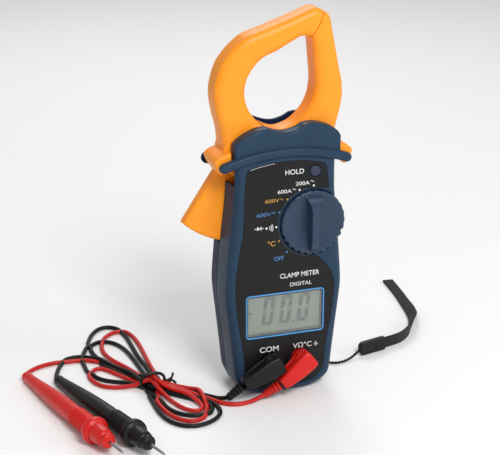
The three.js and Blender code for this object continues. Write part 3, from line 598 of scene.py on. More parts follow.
def label_outline(grow=0.0):
    """The dark film on the front: cut back round the knob, down the right side."""
    left = [*arc((12.1, 16.6), 12, -90, 0, 10), *spline(LABEL_SIDE, 48), np.array((22.6, 135.9))]
    low_right = [*arc((12.1, 16.6), 12, -90, 0, 10), *spline(LABEL_SIDE[:4], 16)]
    shoulder = spline(
        [(29.5, 63), (28.7, 67.5), (27.2, 71.4), (24.7, 75.4), (21.4, 79.4), (17.6, 82.2)], 20,
    )[1:]
    round_knob = arc(KNOB, LABEL_RADIUS, -91, -283, 60)
    high_right = [
        *arc((24.0, 122.4), 0.8, -90, -10, 4), *spline([(24.6, 125), (23.9, 130), (23.6, 133)], 6),
    ]
    top = arc((0, 58.6), 80.6, 74.5, 105.5, 24)
    whole = [*low_right, *shoulder, *round_knob, *high_right, (22.6, 135.9), *top[1:-1], *mirrored(left)]
    whole = turned_to(without_doubles(parted(whole, 2.4), 0.12), 1)
    return list(inset(whole, -grow)) if grow else whole


# ---------------------------------------------------------------- case
CASE_SCREWS = [(-21, 14.5), (21, 14.5), (-26.5, 82), (26.5, 82), (22, 122)]
JAW_SCREWS = [(18.5, 140.2), (26.5, 140.8)]
SHROUD_INNER, SHROUD_OUTER, SHROUD_FLOOR = 6.2, 7.4, -6.0
DOOR_HALF_WIDTH, DOOR_LOW, DOOR_HIGH = 16.0, 27.0, 88.0
DOOR_HALF, DOOR_MIDDLE = (DOOR_HIGH - DOOR_LOW) / 2, (DOOR_HIGH + DOOR_LOW) / 2
LABEL_FLOOR = CASE_FRONT + 0.5


def front_shell():
    shell = pillow(
        "meter_front_shell", OUTLINE, CASE_FRONT, PARTING, (4, 4), (0.35, 0.35), warp=flared, rings=8,
    )
    inside = pillow(
        "tool", inset(OUTLINE, WALL), CASE_FRONT + WALL, PARTING + 1, (3, 2.5), warp=flared, spacing=5,
    )
    cut(
        shell, inside,
        block(-60, 60, JAW_FRONT - JAW_ROOM, 5, 136.5, 170),
        block(-60, -25.4, -15, 5, 126.2, 170),
        block(29.5, 60, -15, 5, 136.4, 170),
    )
    cover = pillow("tool", head_outline(0), -17, JAW_FRONT - JAW_ROOM, (1.7, 1.9), rings=6)
    common(cover, block(-40, 40, -20, JAW_FRONT - 0.39, 138.4, 170))
    # the ridge that keeps a hand off the jaws
    ridge = pillow(
        "tool", band_outline(19.25, RIDGE_HALF), -19.6, -15, (2.1, 2.0), (0.9, 0.9), spacing=1.4, rings=6,
    )
    join(shell, cover, ridge)
    join(shell, *(drum(x, SOCKET_Z, SHROUD_OUTER, -16.5, SHROUD_FLOOR + 1.6) for x in SOCKETS))
    for x, z in CASE_SCREWS:
        body = pillow("tool", OUTLINE, CASE_FRONT, PARTING, (4, 4), warp=flared, spacing=6, rings=3)
        join(shell, common(drum(x, z, 3, -16.5, PARTING, 32), body))
    recess = pillow(
        "tool", label_outline(0.15), -21, LABEL_FLOOR, back_edge=(0.25, 0.25), rings=2, spacing=5,
    )
    screen = pillow("tool", rounded_rectangle(22.5, 12.2, 1.4, SCREEN_Z), -21, -10, spacing=5)
    well_profile = [(WELL_RADIUS, 0), (WELL_RADIUS, 3.6), (WELL_RADIUS - 0.3, 3.9), (0, 3.9)]
    well = lathe("tool", (KNOB[0], -21, KNOB[1]), (KNOB[0], 0, KNOB[1]), well_profile, 96)
    cut(
        shell, recess, screen, well,
        *(drum(x, SOCKET_Z, SHROUD_INNER, -21, SHROUD_FLOOR) for x in SOCKETS),
        *(drum(x, SOCKET_Z, 3.5, -21, 0) for x in SOCKETS),
        drum(*KNOB, 4.4, -21, -12),
        drum(*HOLD, HOLD_RADIUS + 0.3, -21, -12),
        drum(*PIVOT, PIVOT_RADIUS + GAP, -12.9, 0),
        *(drum(x, z, 1.5, -14, 0, 24) for x, z in CASE_SCREWS),
    )
    return cleaned(shell, 0.22)


def rear_shell():
    shell = pillow(
        "meter_rear_shell", OUTLINE, PARTING + GAP, CASE_REAR, (0.35, 0.35), (7, 7), warp=flared, rings=9,
    )
    inside = pillow(
        "tool", inset(OUTLINE, WALL), PARTING - 1, CASE_REAR - WALL, (0, 0), (5.5, 5), warp=flared,
        spacing=5,
    )
    cut(
        shell, inside,
        block(-60, 60, -5, JAW_REAR + JAW_ROOM, 136.5, 170),
        block(-60, -15, -5, JAW_REAR + JAW_ROOM, 89.8, 140),
    )
    cover = pillow("tool", head_outline(1, HEAD_LEFT), JAW_REAR + JAW_ROOM, 11, (0, 0), (1.8, 1.6))
    ridge = pillow(
        "tool", band_outline(20.2, RIDGE_HALF + 0.8), JAW_REAR + JAW_ROOM, 10.4, (0.5, 0.5), (1.1, 1.1),
        spacing=1.8,
    )
    join(shell, cover, ridge)
    join(shell, drum(30.3, 8.5, 4, 5, 8.4, 48))
    for x, z in CASE_SCREWS:
        body = pillow(
            "tool", OUTLINE, PARTING + GAP, CASE_REAR, (0, 0), (7, 7), warp=flared, spacing=6, rings=4,
        )
        front = PARTING + GAP if z > 100 or z < 50 else 8
        join(shell, common(drum(x, z, 3.4, front, 17, 32), body))
    door = rounded_rectangle(DOOR_HALF_WIDTH + GAP, DOOR_HALF + GAP, 3, DOOR_MIDDLE)
    cut(
        shell,
        drum(*STRAP_EYE, 2.1, 0, 20, 40),
        pillow("tool", door, 14, 21, spacing=5),
        drum(*PIVOT, PIVOT_RADIUS + GAP, 0, 10),
        *(drum(x, z, 3, 12.5, 20, 40) for x, z in CASE_SCREWS),
        *(drum(x, z, 1.5, -5, 20, 24) for x, z in CASE_SCREWS),
        *(drum(x, z, 2.8, 9.2, 20, 40) for x, z in JAW_SCREWS),
        *(drum(x, z, 1.5, 0, 20, 24) for x, z in JAW_SCREWS),
    )
    return cleaned(shell, 0.22)


def battery_door():
    outline = parted(rounded_rectangle(DOOR_HALF_WIDTH, DOOR_HALF, 2.7, DOOR_MIDDLE), 2.5)
    door = pillow("battery_hatch", outline, 16.2, CASE_REAR, (0, 0), (0.6, 0.5), rings=4)
    for x in (-12, -6, 0, 6, 12):
        rib = rounded_rectangle(0.8, 6, 0.79, DOOR_LOW + 11, 6, x=x)
        join(door, pillow("tool", rib, 17.2, 18.5, (0, 0), (0.6, 0.5), spacing=0.8))
    arrow = [(-5, 48), (0, 42.5), (5, 48), (3, 48), (3, 53), (-3, 53), (-3, 48)]
    cut(
        door,
        pillow("tool", arrow, 17.6, 20, spacing=4),
        drum(0, DOOR_HIGH - 5, 3, 17, 20, 40),
        drum(0, DOOR_HIGH - 5, 1.5, 10, 20, 24),
    )
    return cleaned(door, 0.1)


def front_label():
    sheet = pillow(
        "dial_label", label_outline(), CASE_FRONT + 0.02, LABEL_FLOOR - 0.03, (0.14, 0.1), rings=2,
        spacing=4,
    )
    cut(
        sheet,
        pillow("tool", rounded_rectangle(23.95, 13.7, 2.6, SCREEN_Z), -21, -10, spacing=8),
        *(drum(x, SOCKET_Z, SHROUD_INNER + 0.5, -21, -10) for x in SOCKETS),
        drum(*HOLD, HOLD_RADIUS + 0.6, -21, -10),
    )
    return cleaned(sheet)


def display_frame():
    half = SCREEN_LINE / 2
    outer = parted(rounded_rectangle(SCREEN_HALF_WIDTH + half, SCREEN_HALF_HEIGHT + half, 2.3, SCREEN_Z), 3)
    inner = parted(rounded_rectangle(SCREEN_HALF_WIDTH - half, SCREEN_HALF_HEIGHT - half, 1.4, SCREEN_Z), 3)
    ring = pillow(
        "screen_border", outer, -18.25, LABEL_FLOOR, (0.4, 0.25), holes=[inner], rings=4, spacing=1.2,
    )
    return smooth(ring)


def screw(name, x, z, head_rear, tip, head_radius=2.6):
    """A domed cross-head screw that goes in from the back."""
    profile = [
        (0, 0), (1.2, 0), (1.2, head_rear - 1.6 - tip), (head_radius, head_rear - 1.6 - tip),
        (head_radius, head_rear - 0.75 - tip), (head_radius * 0.93, head_rear - 0.4 - tip),
        (head_radius * 0.72, head_rear - 0.14 - tip), (head_radius * 0.4, head_rear - 0.03 - tip),
        (0, head_rear - tip),
    ]
    made = lathe(name, (x, tip, z), (x, tip + 1, z), profile, 40)
    for w, h in ((1.75, 0.32), (0.32, 1.75)):
        outline = rounded_rectangle(w, h, 0.3, z, 4, x=x)
        cut(made, pillow("tool", outline, head_rear - 0.9, head_rear + 1, (0.2, 0.5), spacing=0.7, rings=3))
    return cleaned(made)


place(front_shell(), "root", "case_front", "front_case", material=SLATE)
place(rear_shell(), "root", "case_rear", "rear_case", material=NAVY)
place(battery_door(), "root", "case_rear", "battery_door", material=NAVY)
place(front_label(), "root", "label_black", "front_label", material=LABEL)
place(display_frame(), "root", "frame_blue", "display_frame", material=FRAME_BLUE)
for i, (x, z) in enumerate(CASE_SCREWS, 1):
    place(screw(f"shell_screw_{i}", x, z, 14.4, -12), "root", "steel", f"case_screw_{i}", material=STEEL)
for i, (x, z) in enumerate(JAW_SCREWS, 1):
    place(screw(f"head_screw_{i}", x, z, 11, -6, 2.4), "root", "steel", f"jaw_screw_{i}", material=STEEL)
place(
    screw("hatch_screw", 0, DOOR_HIGH - 5, 18.8, 11.5, 2.4), "root", "steel", "battery_door_screw",
    material=STEEL,
)

# ---------------------------------------------------------------- jaws
OPENING = [
    *spline([(16.5, 204.3), (13.4, 205), (10.1, 204.3), (-1.2, 198.4), (-10.7, 194.2), (-16.6, 188.2)], 36),
    *spline([(-18.9, 184), (-20.2, 179), (-20.2, 173), (-18, 166.2), (-14.4, 161.3), (-10.3, 157.8)], 30),
    *spline([(-5.5, 155.3), (0, 154.2), (7.9, 156.6), (13.8, 161.6), (17.3, 166.4), (19.5, 171.9)], 30),
    *spline([(20.4, 178.5), (20.1, 184), (19.2, 193), (18.4, 201), (17.8, 203.4)], 22),
]
RING = [
    *spline(
        [(-33.2, 146), (-34.2, 156), (-36.5, 165), (-38, 175.5), (-37, 183.5), (-33.8, 192.5), (-28, 200)],
        40,
    ),
    *spline(
        [(-23.5, 203.9), (-18.7, 207), (-7.4, 210.7), (4, 214.6), (15, 218.6), (19.4, 220.1), (22, 219.6)],
        34,
    ),
    *spline(
        [(24.4, 218.3), (27, 216.5), (28.7, 213.6), (29.9, 207.7), (31.5, 200), (34.2, 187), (36.3, 178)],
        34,
    ),
    *spline([(36.6, 172), (35.9, 165.5), (34, 157.5), (32.5, 151), (31.8, 145)], 22),
]
ROOT_LINE = [(30.4, 139.5), (28.5, 137.2), (-18, 137.2), (-31, 139.5)]
MOVING_SIDE = [
    (26.6, 224), (24, 218.2), (21, 211.2), (16.3, 204), (10, 194), (-13.4, 162.4), (-14.6, 161.2),
    (-7.9, 155), PIVOT, (PIVOT[0], 120), (-60, 120), (-60, 224),
]
FIXED_SIDE = [
    (27.1, 224), (24.5, 218), (21.5, 211), (16.8, 203.8), (10.5, 193.7), (-13.1, 162.2), (-13.9, 161.1),
    (-7.5, 155.3), PIVOT, (PIVOT[0], 120), (60, 120), (60, 224),
]
MOVING_CORE = [
    (0, 145.8), (-6, 148.2), (-14, 151.2), (-21, 154.4), (-26.3, 161), (-28.8, 169), (-29.2, 176),
    (-27.5, 185), (-22.5, 193.5), (-14, 199.8), (-4, 204.6), (4, 208), (12, 211), (23, 214.5),
]
FIXED_CORE = [
    (-6, 146.4), (2, 145.5), (8, 145.5), (14, 146.2), (20, 149), (26, 157), (28.6, 168), (28.5, 178),
    (26.8, 189), (25, 199), (23.4, 206.5), (18, 215.5),
]
EAR = [
    (30.4, 145.3), (33.5, 144.9), (36.5, 143.9), (38.9, 142.6), (40.2, 140.4), (38.9, 136.9),
    (36.3, 133.4), (34.2, 134.2), (31.6, 136), (30.4, 137),
]
CORE_FRONT, CORE_REAR, CORE_HALF = -5.0, 3.0, 4.0
COIL_LOW, COIL_HIGH, COIL_HALF = 3.6, 12.4, 6.2


def jaw_ring():
    ring = parted([*RING, *ROOT_LINE], 2.2)
    return pillow(
        "tool", ring, JAW_FRONT, JAW_REAR, (5.2, 4.0), (4.6, 3.4), holes=[OPENING], rings=9, spacing=1.8,
    )


def slab_of(points, front, back):
    return pillow("tool", points, front, back, spacing=9)


def ribbon(points, half_width, steps):
    line = spline(points, steps)
    sides = [[], []]
    for i, p in enumerate(line):
        along = line[min(i + 1, steps)] - line[max(i - 1, 0)]
        along /= np.linalg.norm(along)
        across = np.array((-along[1], along[0])) * half_width
        sides[0].append(p - across)
        sides[1].append(p + across)
    return sides[0] + sides[1][::-1]


def core_channel(points):
    return slab_of(ribbon(points, CORE_HALF + GAP - 0.02, 78), CORE_FRONT - GAP, CORE_REAR + GAP)


def ear(sign):
    outline = spline([*EAR, EAR[0]], 60)[:-1]
    outline = [np.array((sign * p[0], p[1])) for p in outline]
    return pillow("tool", outline, -14.6, JAW_REAR, (1.5, 1.5), (1.5, 1.5), spacing=1.4, rings=5)


def trigger():
    def reach(x):
        return (x, PIVOT[1] - math.sqrt(TRIGGER_RADIUS**2 - (x - PIVOT[0]) ** 2))

    rim = [reach(-54.1 + 25.6 * k / 14) for k in range(15)]
    outline = parted([(-30, 139), (-37, 134.5), (-35.4, 131.2), *rim, (-22, 128.5), (-22, 139)], 1.6)

    # The face falls away outside a crease that runs from the ear to the lever's outer corner.
    def facet(x, z, d):
        beyond = np.clip(-(x + 34.2) - 0.36 * (131.2 - z), 0, None)
        return 0.16 * beyond

    return pillow(
        "tool", outline, TRIGGER_FRONT, TRIGGER_REAR, (1.6, 1.4), (1.6, 1.4), spacing=1.6, rings=5,
        relief=facet,
    )


def moving_jaw():
    jaw = jaw_ring()
    jaw.name = "swinging_jaw"
    common(jaw, slab_of(MOVING_SIDE, -20, 20))
    hub = pillow(
        "tool", arc(PIVOT, HUB_RADIUS, 0, 357, 119), JAW_FRONT, JAW_REAR, (0.8, 0.8), (0.8, 0.8), rings=3,
    )
    join(jaw, hub, ear(-1), trigger())
    cut(
        jaw,
        core_channel(MOVING_CORE),
        drum(*PIVOT, PIVOT_RADIUS + GAP, -20, 20),
        drum(*PIVOT, 5.7, 1.9, 20),
    )
    return cleaned(jaw, 0.3)


def fixed_jaw():
    jaw = jaw_ring()
    jaw.name = "standing_jaw"
    common(jaw, slab_of(FIXED_SIDE, -20, 20))
    join(jaw, ear(1))
    reach = COIL_HALF + GAP
    cut(
        jaw,
        drum(*PIVOT, HUB_RADIUS + 0.35, -20, 20, 128),
        core_channel(FIXED_CORE),
        block(COIL_LOW - GAP, COIL_HIGH + GAP, -1 - reach, -1 + reach, 130, 145.5 + reach),
        *(drum(x, z, 1.5, -7, 20, 24) for x, z in JAW_SCREWS),
    )
    return cleaned(jaw, 0.3)


place(moving_jaw(), "moving_jaw", "jaw_orange", "moving_jaw", material=ORANGE)
place(fixed_jaw(), "root", "jaw_orange", "fixed_jaw", material=ORANGE)


# ---------------------------------------------------------------- knob and button
BAR_HEIGHT, BAR_SLOPE = 4.0, 1.1


def selector_knob():
    rim, per_notch = [], 10
    for i in range(NOTCHES * per_notch):
        share, turn = (i % per_notch) / per_notch, 360 * i / (NOTCHES * per_notch)
        depth = 0.95 if 200 < turn < 345 else 0.25  # deep along the lower side only
        scoop = max(0.0, math.cos((share - 0.5) * 2 * math.pi) + 0.15) ** 0.6
        radius = KNOB_RADIUS - (depth * scoop if 0.22 < share < 0.78 else 0)
        angle = math.radians(turn)
        rim.append((KNOB[0] + radius * math.cos(angle), KNOB[1] + radius * math.sin(angle)))

    def bar_half(v):
        return 2.1 + 2.2 * np.clip((v - 7) / 8, 0, 1) ** 1.5

    # Each side sinks from the rim towards a raised grip bar, which widens at its upper end.
    def grip(x, z, d):
        u, v = x - KNOB[0], z - KNOB[1]
        wall = np.clip((np.abs(u) - bar_half(v)) / BAR_SLOPE, 0, 1)
        wall = wall * wall * (3 - 2 * wall)
        sunk = np.clip((16.9 - np.hypot(u, v)) / (16.9 - bar_half(v)), 0, 1)
        fade = np.clip(1 - (np.abs(v) / 16.4) ** 5, 0, 1)
        raised = BAR_HEIGHT * np.clip(1 - (np.abs(v) / 16.2) ** 6, 0, 1) ** 0.7
        return 2.5 * wall * sunk**0.8 * fade - raised * (1 - wall)

    creases = [
        [(KNOB[0] + side * (bar_half(v) + away), KNOB[1] + v) for v in np.arange(-16, 16.01, 0.5)]
        for side in (-1, 1) for away in (0.0, BAR_SLOPE / 2, BAR_SLOPE)
    ]
    disc = pillow(
        "selector_dial", rim, KNOB_FRONT, CASE_FRONT + 0.7, (1.2, 0.9), (0.3, 0.3), spacing=0.6, rings=4,
        relief=grip, creases=creases,
    )
    join(disc, drum(*KNOB, 3.9, CASE_FRONT - 1, -13.3, 48))
    return smooth(cleaned(disc), 50)


def hold_button():
    profile = [
        (0, 0), (1.2, 0.02), (2.0, 0.1), (2.6, 0.28), (2.92, 0.5), (HOLD_RADIUS, 0.9), (HOLD_RADIUS, 3.5),
        (3.9, 3.5), (3.9, 4.1), (0, 4.1),
    ]
    return smooth(lathe("hold_key", (HOLD[0], -19.1, HOLD[1]), (HOLD[0], -15, HOLD[1]), profile, 64))


place(selector_knob(), "knob", "knob_blue", "selector_knob", material=KNOB_BLUE)
place(hold_button(), "hold_button", "knob_blue", "hold_button", material=HOLD_BLUE)

# ---------------------------------------------------------------- display, print and painted highlights
PRINT_FRONT, PRINT_BACK = CASE_FRONT - 0.03, CASE_FRONT + 0.06


def merged(name, pieces):
    """Several closed meshes as one piece."""
    work = bmesh.new()
    for piece in pieces:
        work.from_mesh(piece.data)
        bpy.data.objects.remove(piece)
    mesh = bpy.data.meshes.new(name)
    work.to_mesh(mesh)
    work.free()
    return smooth(link(name, mesh))


def flat_shape(points, front=PRINT_FRONT, back=PRINT_BACK):
    points = without_doubles([np.array(p, float) for p in points], 0.01)
    n = len(points)
    corners = [(p[0], y, p[1]) for y in (front, back) for p in points]
    order = geometry.tessellate_polygon([[Vector((p[0], p[1], 0)) for p in points]])
    faces = [tuple(t) for t in order] + [tuple(n + i for i in reversed(t)) for t in order]
    faces += [(i, (i + 1) % n, n + (i + 1) % n, n + i) for i in range(n)]
    return solid("print", corners, faces)


def stroke(points, width, front=PRINT_FRONT, back=PRINT_BACK):
    """A flat line of constant width on the front: print, or a painted highlight."""
    line = [np.array(p, float) for p in points]
    left, right = [], []
    for i, p in enumerate(line):
        along = line[min(i + 1, len(line) - 1)] - line[max(i - 1, 0)]
        along /= np.linalg.norm(along)
        across = np.array((-along[1], along[0])) * width / 2
        left.append(p + across)
        right.append(p - across)
    return flat_shape(left + right[::-1], front, back)


def lettering(text, centre, width, height, weight=0.0, lean=0.0):
    """Words as thin solid letters on the front, fitted to a width and a height."""
    data = bpy.data.curves.new("lettering", "FONT")
    data.body, data.size, data.extrude, data.offset = text, 1.0, 0.01, weight
    data.resolution_u = 5
    made = bpy.data.objects.new("lettering", data)
    bpy.context.scene.collection.objects.link(made)
    bpy.context.view_layer.update()
    mesh = bpy.data.meshes.new_from_object(made.evaluated_get(bpy.context.evaluated_depsgraph_get()))
    bpy.data.objects.remove(made)
    co = np.zeros(len(mesh.vertices) * 3)
    mesh.vertices.foreach_get("co", co)
    co = co.reshape(-1, 3)
    low, high = co.min(0), co.max(0)
    x = (co[:, 0] - (low[0] + high[0]) / 2) * width / (high[0] - low[0])
    z = (co[:, 1] - (low[1] + high[1]) / 2) * height / (high[1] - low[1])
    y = np.where(co[:, 2] > 0, PRINT_FRONT, PRINT_BACK)
    placed = np.stack([centre[0] + x + lean * z, y, centre[1] + z], 1) * MM
    mesh.vertices.foreach_set("co", placed.ravel())
    work = bmesh.new()
    work.from_mesh(mesh)
    bmesh.ops.remove_doubles(work, verts=work.verts, dist=1e-7)
    bmesh.ops.recalc_face_normals(work, faces=work.faces)
    work.to_mesh(mesh)
    work.free()
    return link("print", mesh)


def dot(centre, radius):
    return flat_shape(arc(centre, radius, 0, 345, 23))


def wave(centre, width, height, thickness=0.32):
    points = [
        (centre[0] + width * (t / 16 - 0.5), centre[1] + height / 2 * math.sin(2 * math.pi * t / 16))
        for t in range(17)
    ]
    return stroke(points, thickness)


def dial_dot(step):
    return arc(DIAL, DIAL_RADIUS, 90 + 22.5 * step, 91, 1)[0]


def white_print_and_highlight():
    x, z = -15.8, 101.8
    diode = [
        flat_shape([(x - 1.3, z - 1.15), (x + 0.75, z), (x - 1.3, z + 1.15)]),
        stroke([(x + 0.95, z - 1.2), (x + 0.95, z + 1.2)], 0.4),
        stroke([(x - 2.9, z), (x - 1.2, z)], 0.34),
        stroke([(x + 1.1, z), (x + 2.6, z)], 0.34),
    ]
    waves = [stroke(arc((-11.2, 101.5), r, -38, 38, 8), 0.36) for r in (1.6, 2.5, 3.4)]
    pieces = [
        lettering("HOLD", (4.6, 132.7), 10.9, 2.9, 0.008),
        lettering("200A", (9.4, 125.6), 8.2, 2.15, 0.006),
        wave((15.0, 126.3), 2.0, 0.7),
        lettering("600A", (-1.1, 121.9), 8.2, 2.15, 0.006),
        wave((4.5, 122.6), 2.0, 0.7),
        *diode, *waves, dot((-11.6, 101.5), 0.62),
        dot(dial_dot(0), 0.62), dot(dial_dot(1), 0.62), dot(dial_dot(4), 0.6),
        lettering("COM", (-9.5, 28.2), 11.4, 3.3, 0.01),
        lettering("VΩ°C", (10.6, 28.2), 11.4, 3.3, 0.006),
        lettering("CLAMP METER", (8.4, 72.0), 23.5, 2.9, 0.006),
        lettering("DIGITAL", (9.2, 66.3), 13.0, 2.3, 0.004),
        stroke([(17.9, 27.0), (18.8, 29.3), (19.7, 27.0)], 0.3),
        stroke([(18.8, 29.3), (18.8, 26.2), (20.3, 27.6)], 0.3),
        # painted highlight: a thin white line just inside the label's upper edge, on its left part, in place
        # of light on that edge
        stroke(arc((0, 58.6), 80.15, 95, 105.2, 20), 0.18),
    ]
    return merged("white_print_and_highlight", pieces)


# Painted highlight: a thin light line on the left side of the label's edge round the knob, standing in for
# light catching that edge.
def painted_edge_highlight():
    return merged("painted_edge_highlight", [stroke(arc(KNOB, LABEL_RADIUS + 0.25, -95, -262, 70), 0.16)])


def print_yellow():
    return merged("print_yellow", [
        lettering("600V", (-8.4, 117.2), 8.2, 2.15, 0.006),
        wave((-2.8, 117.6), 2.0, 0.7),
        dot(dial_dot(2), 0.55),
        lettering("°C", (-8.6, 92.2), 4.6, 3.1, 0.014),
        dot(dial_dot(5), 0.55),
    ])


def print_blue():
    return merged("print_blue", [
        lettering("600V", (-13.3, 109.6), 8.2, 2.15, 0.006),
        stroke([(-8.7, 110.5), (-6.5, 110.5)], 0.3),
        *(stroke([(a, 109.8), (a + 0.52, 109.8)], 0.3) for a in (-8.7, -7.86, -7.02)),
        dot(dial_dot(3), 0.55),
        lettering("OFF", (-4.1, 82.9), 5.8, 2.5, 0.014),
        dot(dial_dot(6), 0.6),
    ])


def digits():
    """Three seven-bar zeros, the point and the minus sign, on the display panel."""
    front, back = -15.52, -15.38
    width, height, bar, lean, gap, corner = 6.6, 17.6, 2.2, 0.12, 0.16, 0.36
    pieces = []

    def slanted(points, x0, z0):
        pieces.append(flat_shape([(x0 + x + lean * z, z0 + z) for x, z in points], front, back))

    for x0 in (-13.6, -3.0, 7.6):
        z0, middle = 42.0, height / 2
        for outer, inner in ((0, bar), (width, width - bar)):
            slanted([
                (outer, corner + gap), (inner, bar + gap), (inner, middle - bar / 2 - gap),
                (outer, middle - gap),
            ], x0, z0)
            slanted([
                (outer, middle + gap), (inner, middle + bar / 2 + gap), (inner, height - bar - gap),
                (outer, height - corner - gap),
            ], x0, z0)
        for z, up in ((0, 1), (height, -1)):
            slanted([
                (0.35 + gap, z), (width - 0.35 - gap, z), (width - bar - gap, z + up * bar),
                (bar + gap, z + up * bar),
            ], x0, z0)
    pieces.append(flat_shape([(5.4, 42.1), (6.6, 42.1), (6.7, 43.3), (5.5, 43.3)], front, back))
    pieces.append(flat_shape([(-21.4, 50.0), (-18.9, 50.0), (-18.8, 51.2), (-21.3, 51.2)], front, back))
    return merged("display_digits", pieces)


def window_pane():
    outline = parted(rounded_rectangle(22.2, 11.9, 1.2, SCREEN_Z), 3)
    return cleaned(pillow("screen_pane", outline, -17.9, -16.9, (0.3, 0.2), rings=3, spacing=5))


def screen_bezel():
    """The dark sight that frames the glass, behind the pane."""
    outer = parted(rounded_rectangle(22.4, 12.1, 1.3, SCREEN_Z), 3)
    inner = parted(rounded_rectangle(21.7, 11.2, 1.0, SCREEN_Z), 3)
    return smooth(pillow("screen_sight", outer, -16.8, -15.45, holes=[inner], spacing=1))


place(white_print_and_highlight(), "root", "label_black", material=WHITE_PRINT_AND_HIGHLIGHT)
place(print_yellow(), "root", "label_black", material=YELLOW_PRINT)
place(print_blue(), "root", "label_black", material=BLUE_PRINT)
place(painted_edge_highlight(), "root", "label_black", material=PAINTED_EDGE_HIGHLIGHT)
place(digits(), "root", "display", material=SEGMENT)
place(window_pane(), "root", "window", "display_window", material=WINDOW)
place(screen_bezel(), "root", "black_plastic", material=BLACK)

# ---------------------------------------------------------------- plugs
PLUGS = {
    "black": {"x": -9.5, "arm": (-27, -25.2, 12.2), "end": (-36, -22.4, 3.6)},
    "red": {"x": 9.5, "arm": (-4.6, -25.6, 9.4), "end": (-14.4, -23.7, 2.9)},
}
PLUG_SHOULDER, PLUG_SHROUD_END, PLUG_OUTER = -18.9, -8.0, 5.6


def past(a, b, distance):
    """A point a distance beyond the end of the line from a to b."""
    a, b = np.array(a, float), np.array(b, float)
    return b + (b - a) / np.linalg.norm(b - a) * distance


def plug_body(name, x, arm):
    """A right-angled plug: a squared, tapered body with a sunk grip along each side."""
    start = np.array((x, -24.2, SOCKET_Z))
    axis = np.array(arm, float) - start
    length = np.linalg.norm(axis)
    axis /= length
    deep = np.array((0.0, 1.0, 0.0))
    deep -= axis * axis.dot(deep)
    deep /= np.linalg.norm(deep)
    wide = np.cross(axis, deep)
    # distance along the body, half width, half depth, shift in depth
    stations = [
        (-5.6, 4.3, 3.7), (-5.4, 4.95, 4.2), (-4.9, 5.45, 4.65), (-3.8, 5.75, 4.85), (-1, 5.85, 4.95),
        (2.5, 5.75, 4.9), (6, 5.4, 4.75), (10, 4.9, 4.5), (14, 4.3, 4.1), (length - 1.4, 3.75, 3.6),
        (length - 0.5, 3.6, 3.45), (length - 0.1, 3.3, 3.15), (length, 2.9, 2.8),
    ]
    rings, sides = [], 72
    for s, half_wide, half_deep in stations:
        ring = []
        groove = 0.55 * max(0.0, min(1.0, (s + 3.5) / 1.5, (length - 2.6 - s) / 1.5))
        for i in range(sides):
            a = 2 * math.pi * i / sides
            c, n = math.cos(a), math.sin(a)
            u = half_wide * math.copysign(abs(c) ** 0.36, c)
            v = half_deep * math.copysign(abs(n) ** 0.36, n)
            if abs(v) < 0.55 * half_deep:
                u -= math.copysign(groove, u)
            ring.append(start + axis * s + wide * u + deep * v)
        rings.append(ring)
    body = loft(name, rings)
    shroud = lathe(
        "tool", (x, PLUG_SHOULDER - 1.2, SOCKET_Z), (x, PLUG_SHROUD_END, SOCKET_Z),
        [(PLUG_OUTER, 0), (PLUG_OUTER, 10.4), (PLUG_OUTER - 0.35, 11.6), (PLUG_OUTER - 0.9, 12.1), (0, 12.1)],
        56,
    )
    foot = pillow(
        "tool", arc((x, SOCKET_Z), PLUG_OUTER + 0.3, 0, 355, 71), -24.5, PLUG_SHOULDER, (0.5, 0.5),
        (0.6, 0.6), spacing=2,
    )
    join(body, foot, shroud)
    cut(
        body, drum(x, SOCKET_Z, 3.6, PLUG_SHOULDER + 0.4, 0, 48),
        drum(x, SOCKET_Z, 2.0, PLUG_SHOULDER - 3.3, 0, 40),
    )
    return cleaned(body, 0.12)


def strain_relief(name, arm, end):
    """A tapered sleeve with deep rings where the lead comes out."""
    start = past(end, arm, -1.2)
    length = float(np.linalg.norm(start - np.array(end)))
    profile = [(0, 0), (2.7, 0), (3.05, 0.25), (3.05, 1.2)]
    for k in range(4):
        s = 1.6 + k * (length - 3.0) / 4
        r = 2.95 - 0.2 * k
        profile += [
            (2.05, s), (2.05, s + 0.62), (r - 0.2, s + 0.72), (r, s + 0.95), (r, s + 1.75),
            (r - 0.2, s + 1.95),
        ]
    profile += [
        (2.0, length - 0.7), (2.0, length - 0.2), (1.75, length), (1.3, length + 0.02),
        (1.3, length - 1.5), (0, length - 1.5),
    ]
    return smooth(lathe(name, start, end, profile, 48), 40)


def plug_pin(name, x):
    profile = [(0, 0), (1.75, 0), (1.75, 19.2), (1.5, 20.8), (0.9, 21.7), (0, 21.9)]
    return smooth(lathe(name, (x, PLUG_SHOULDER - 3, SOCKET_Z), (x, 0, SOCKET_Z), profile, 40))


RUBBERS = {"black": BLACK_RUBBER, "red": RED_RUBBER}
HARD = {"black": BLACK, "red": RED}
RUBBER_SLOT = {"black": "black_rubber", "red": "red_rubber"}
HARD_SLOT = {"black": "black_plastic", "red": "red_plastic"}
for colour, plug in PLUGS.items():
    body = plug_body(f"{colour}_plug_shell", plug["x"], plug["arm"])
    relief = strain_relief(f"{colour}_cord_sleeve", plug["arm"], plug["end"])
    pin = plug_pin(f"{colour}_banana_pin", plug["x"])
    place(body, "root", HARD_SLOT[colour], f"{colour}_plug_body", material=HARD[colour])
    place(relief, "root", RUBBER_SLOT[colour], f"{colour}_strain_relief", material=RUBBERS[colour])
    place(pin, "root", "brass", f"{colour}_plug_pin", material=BRASS)

# ---------------------------------------------------------------- probes
PROBES = {
    "black": {"tip": (-90, -84.1, 9.3), "tail": (-121.7, 33.7, 3)},
    "red": {"tip": (-109.9, -75.2, 9.3), "tail": (-138.5, 44.2, 3)},
}


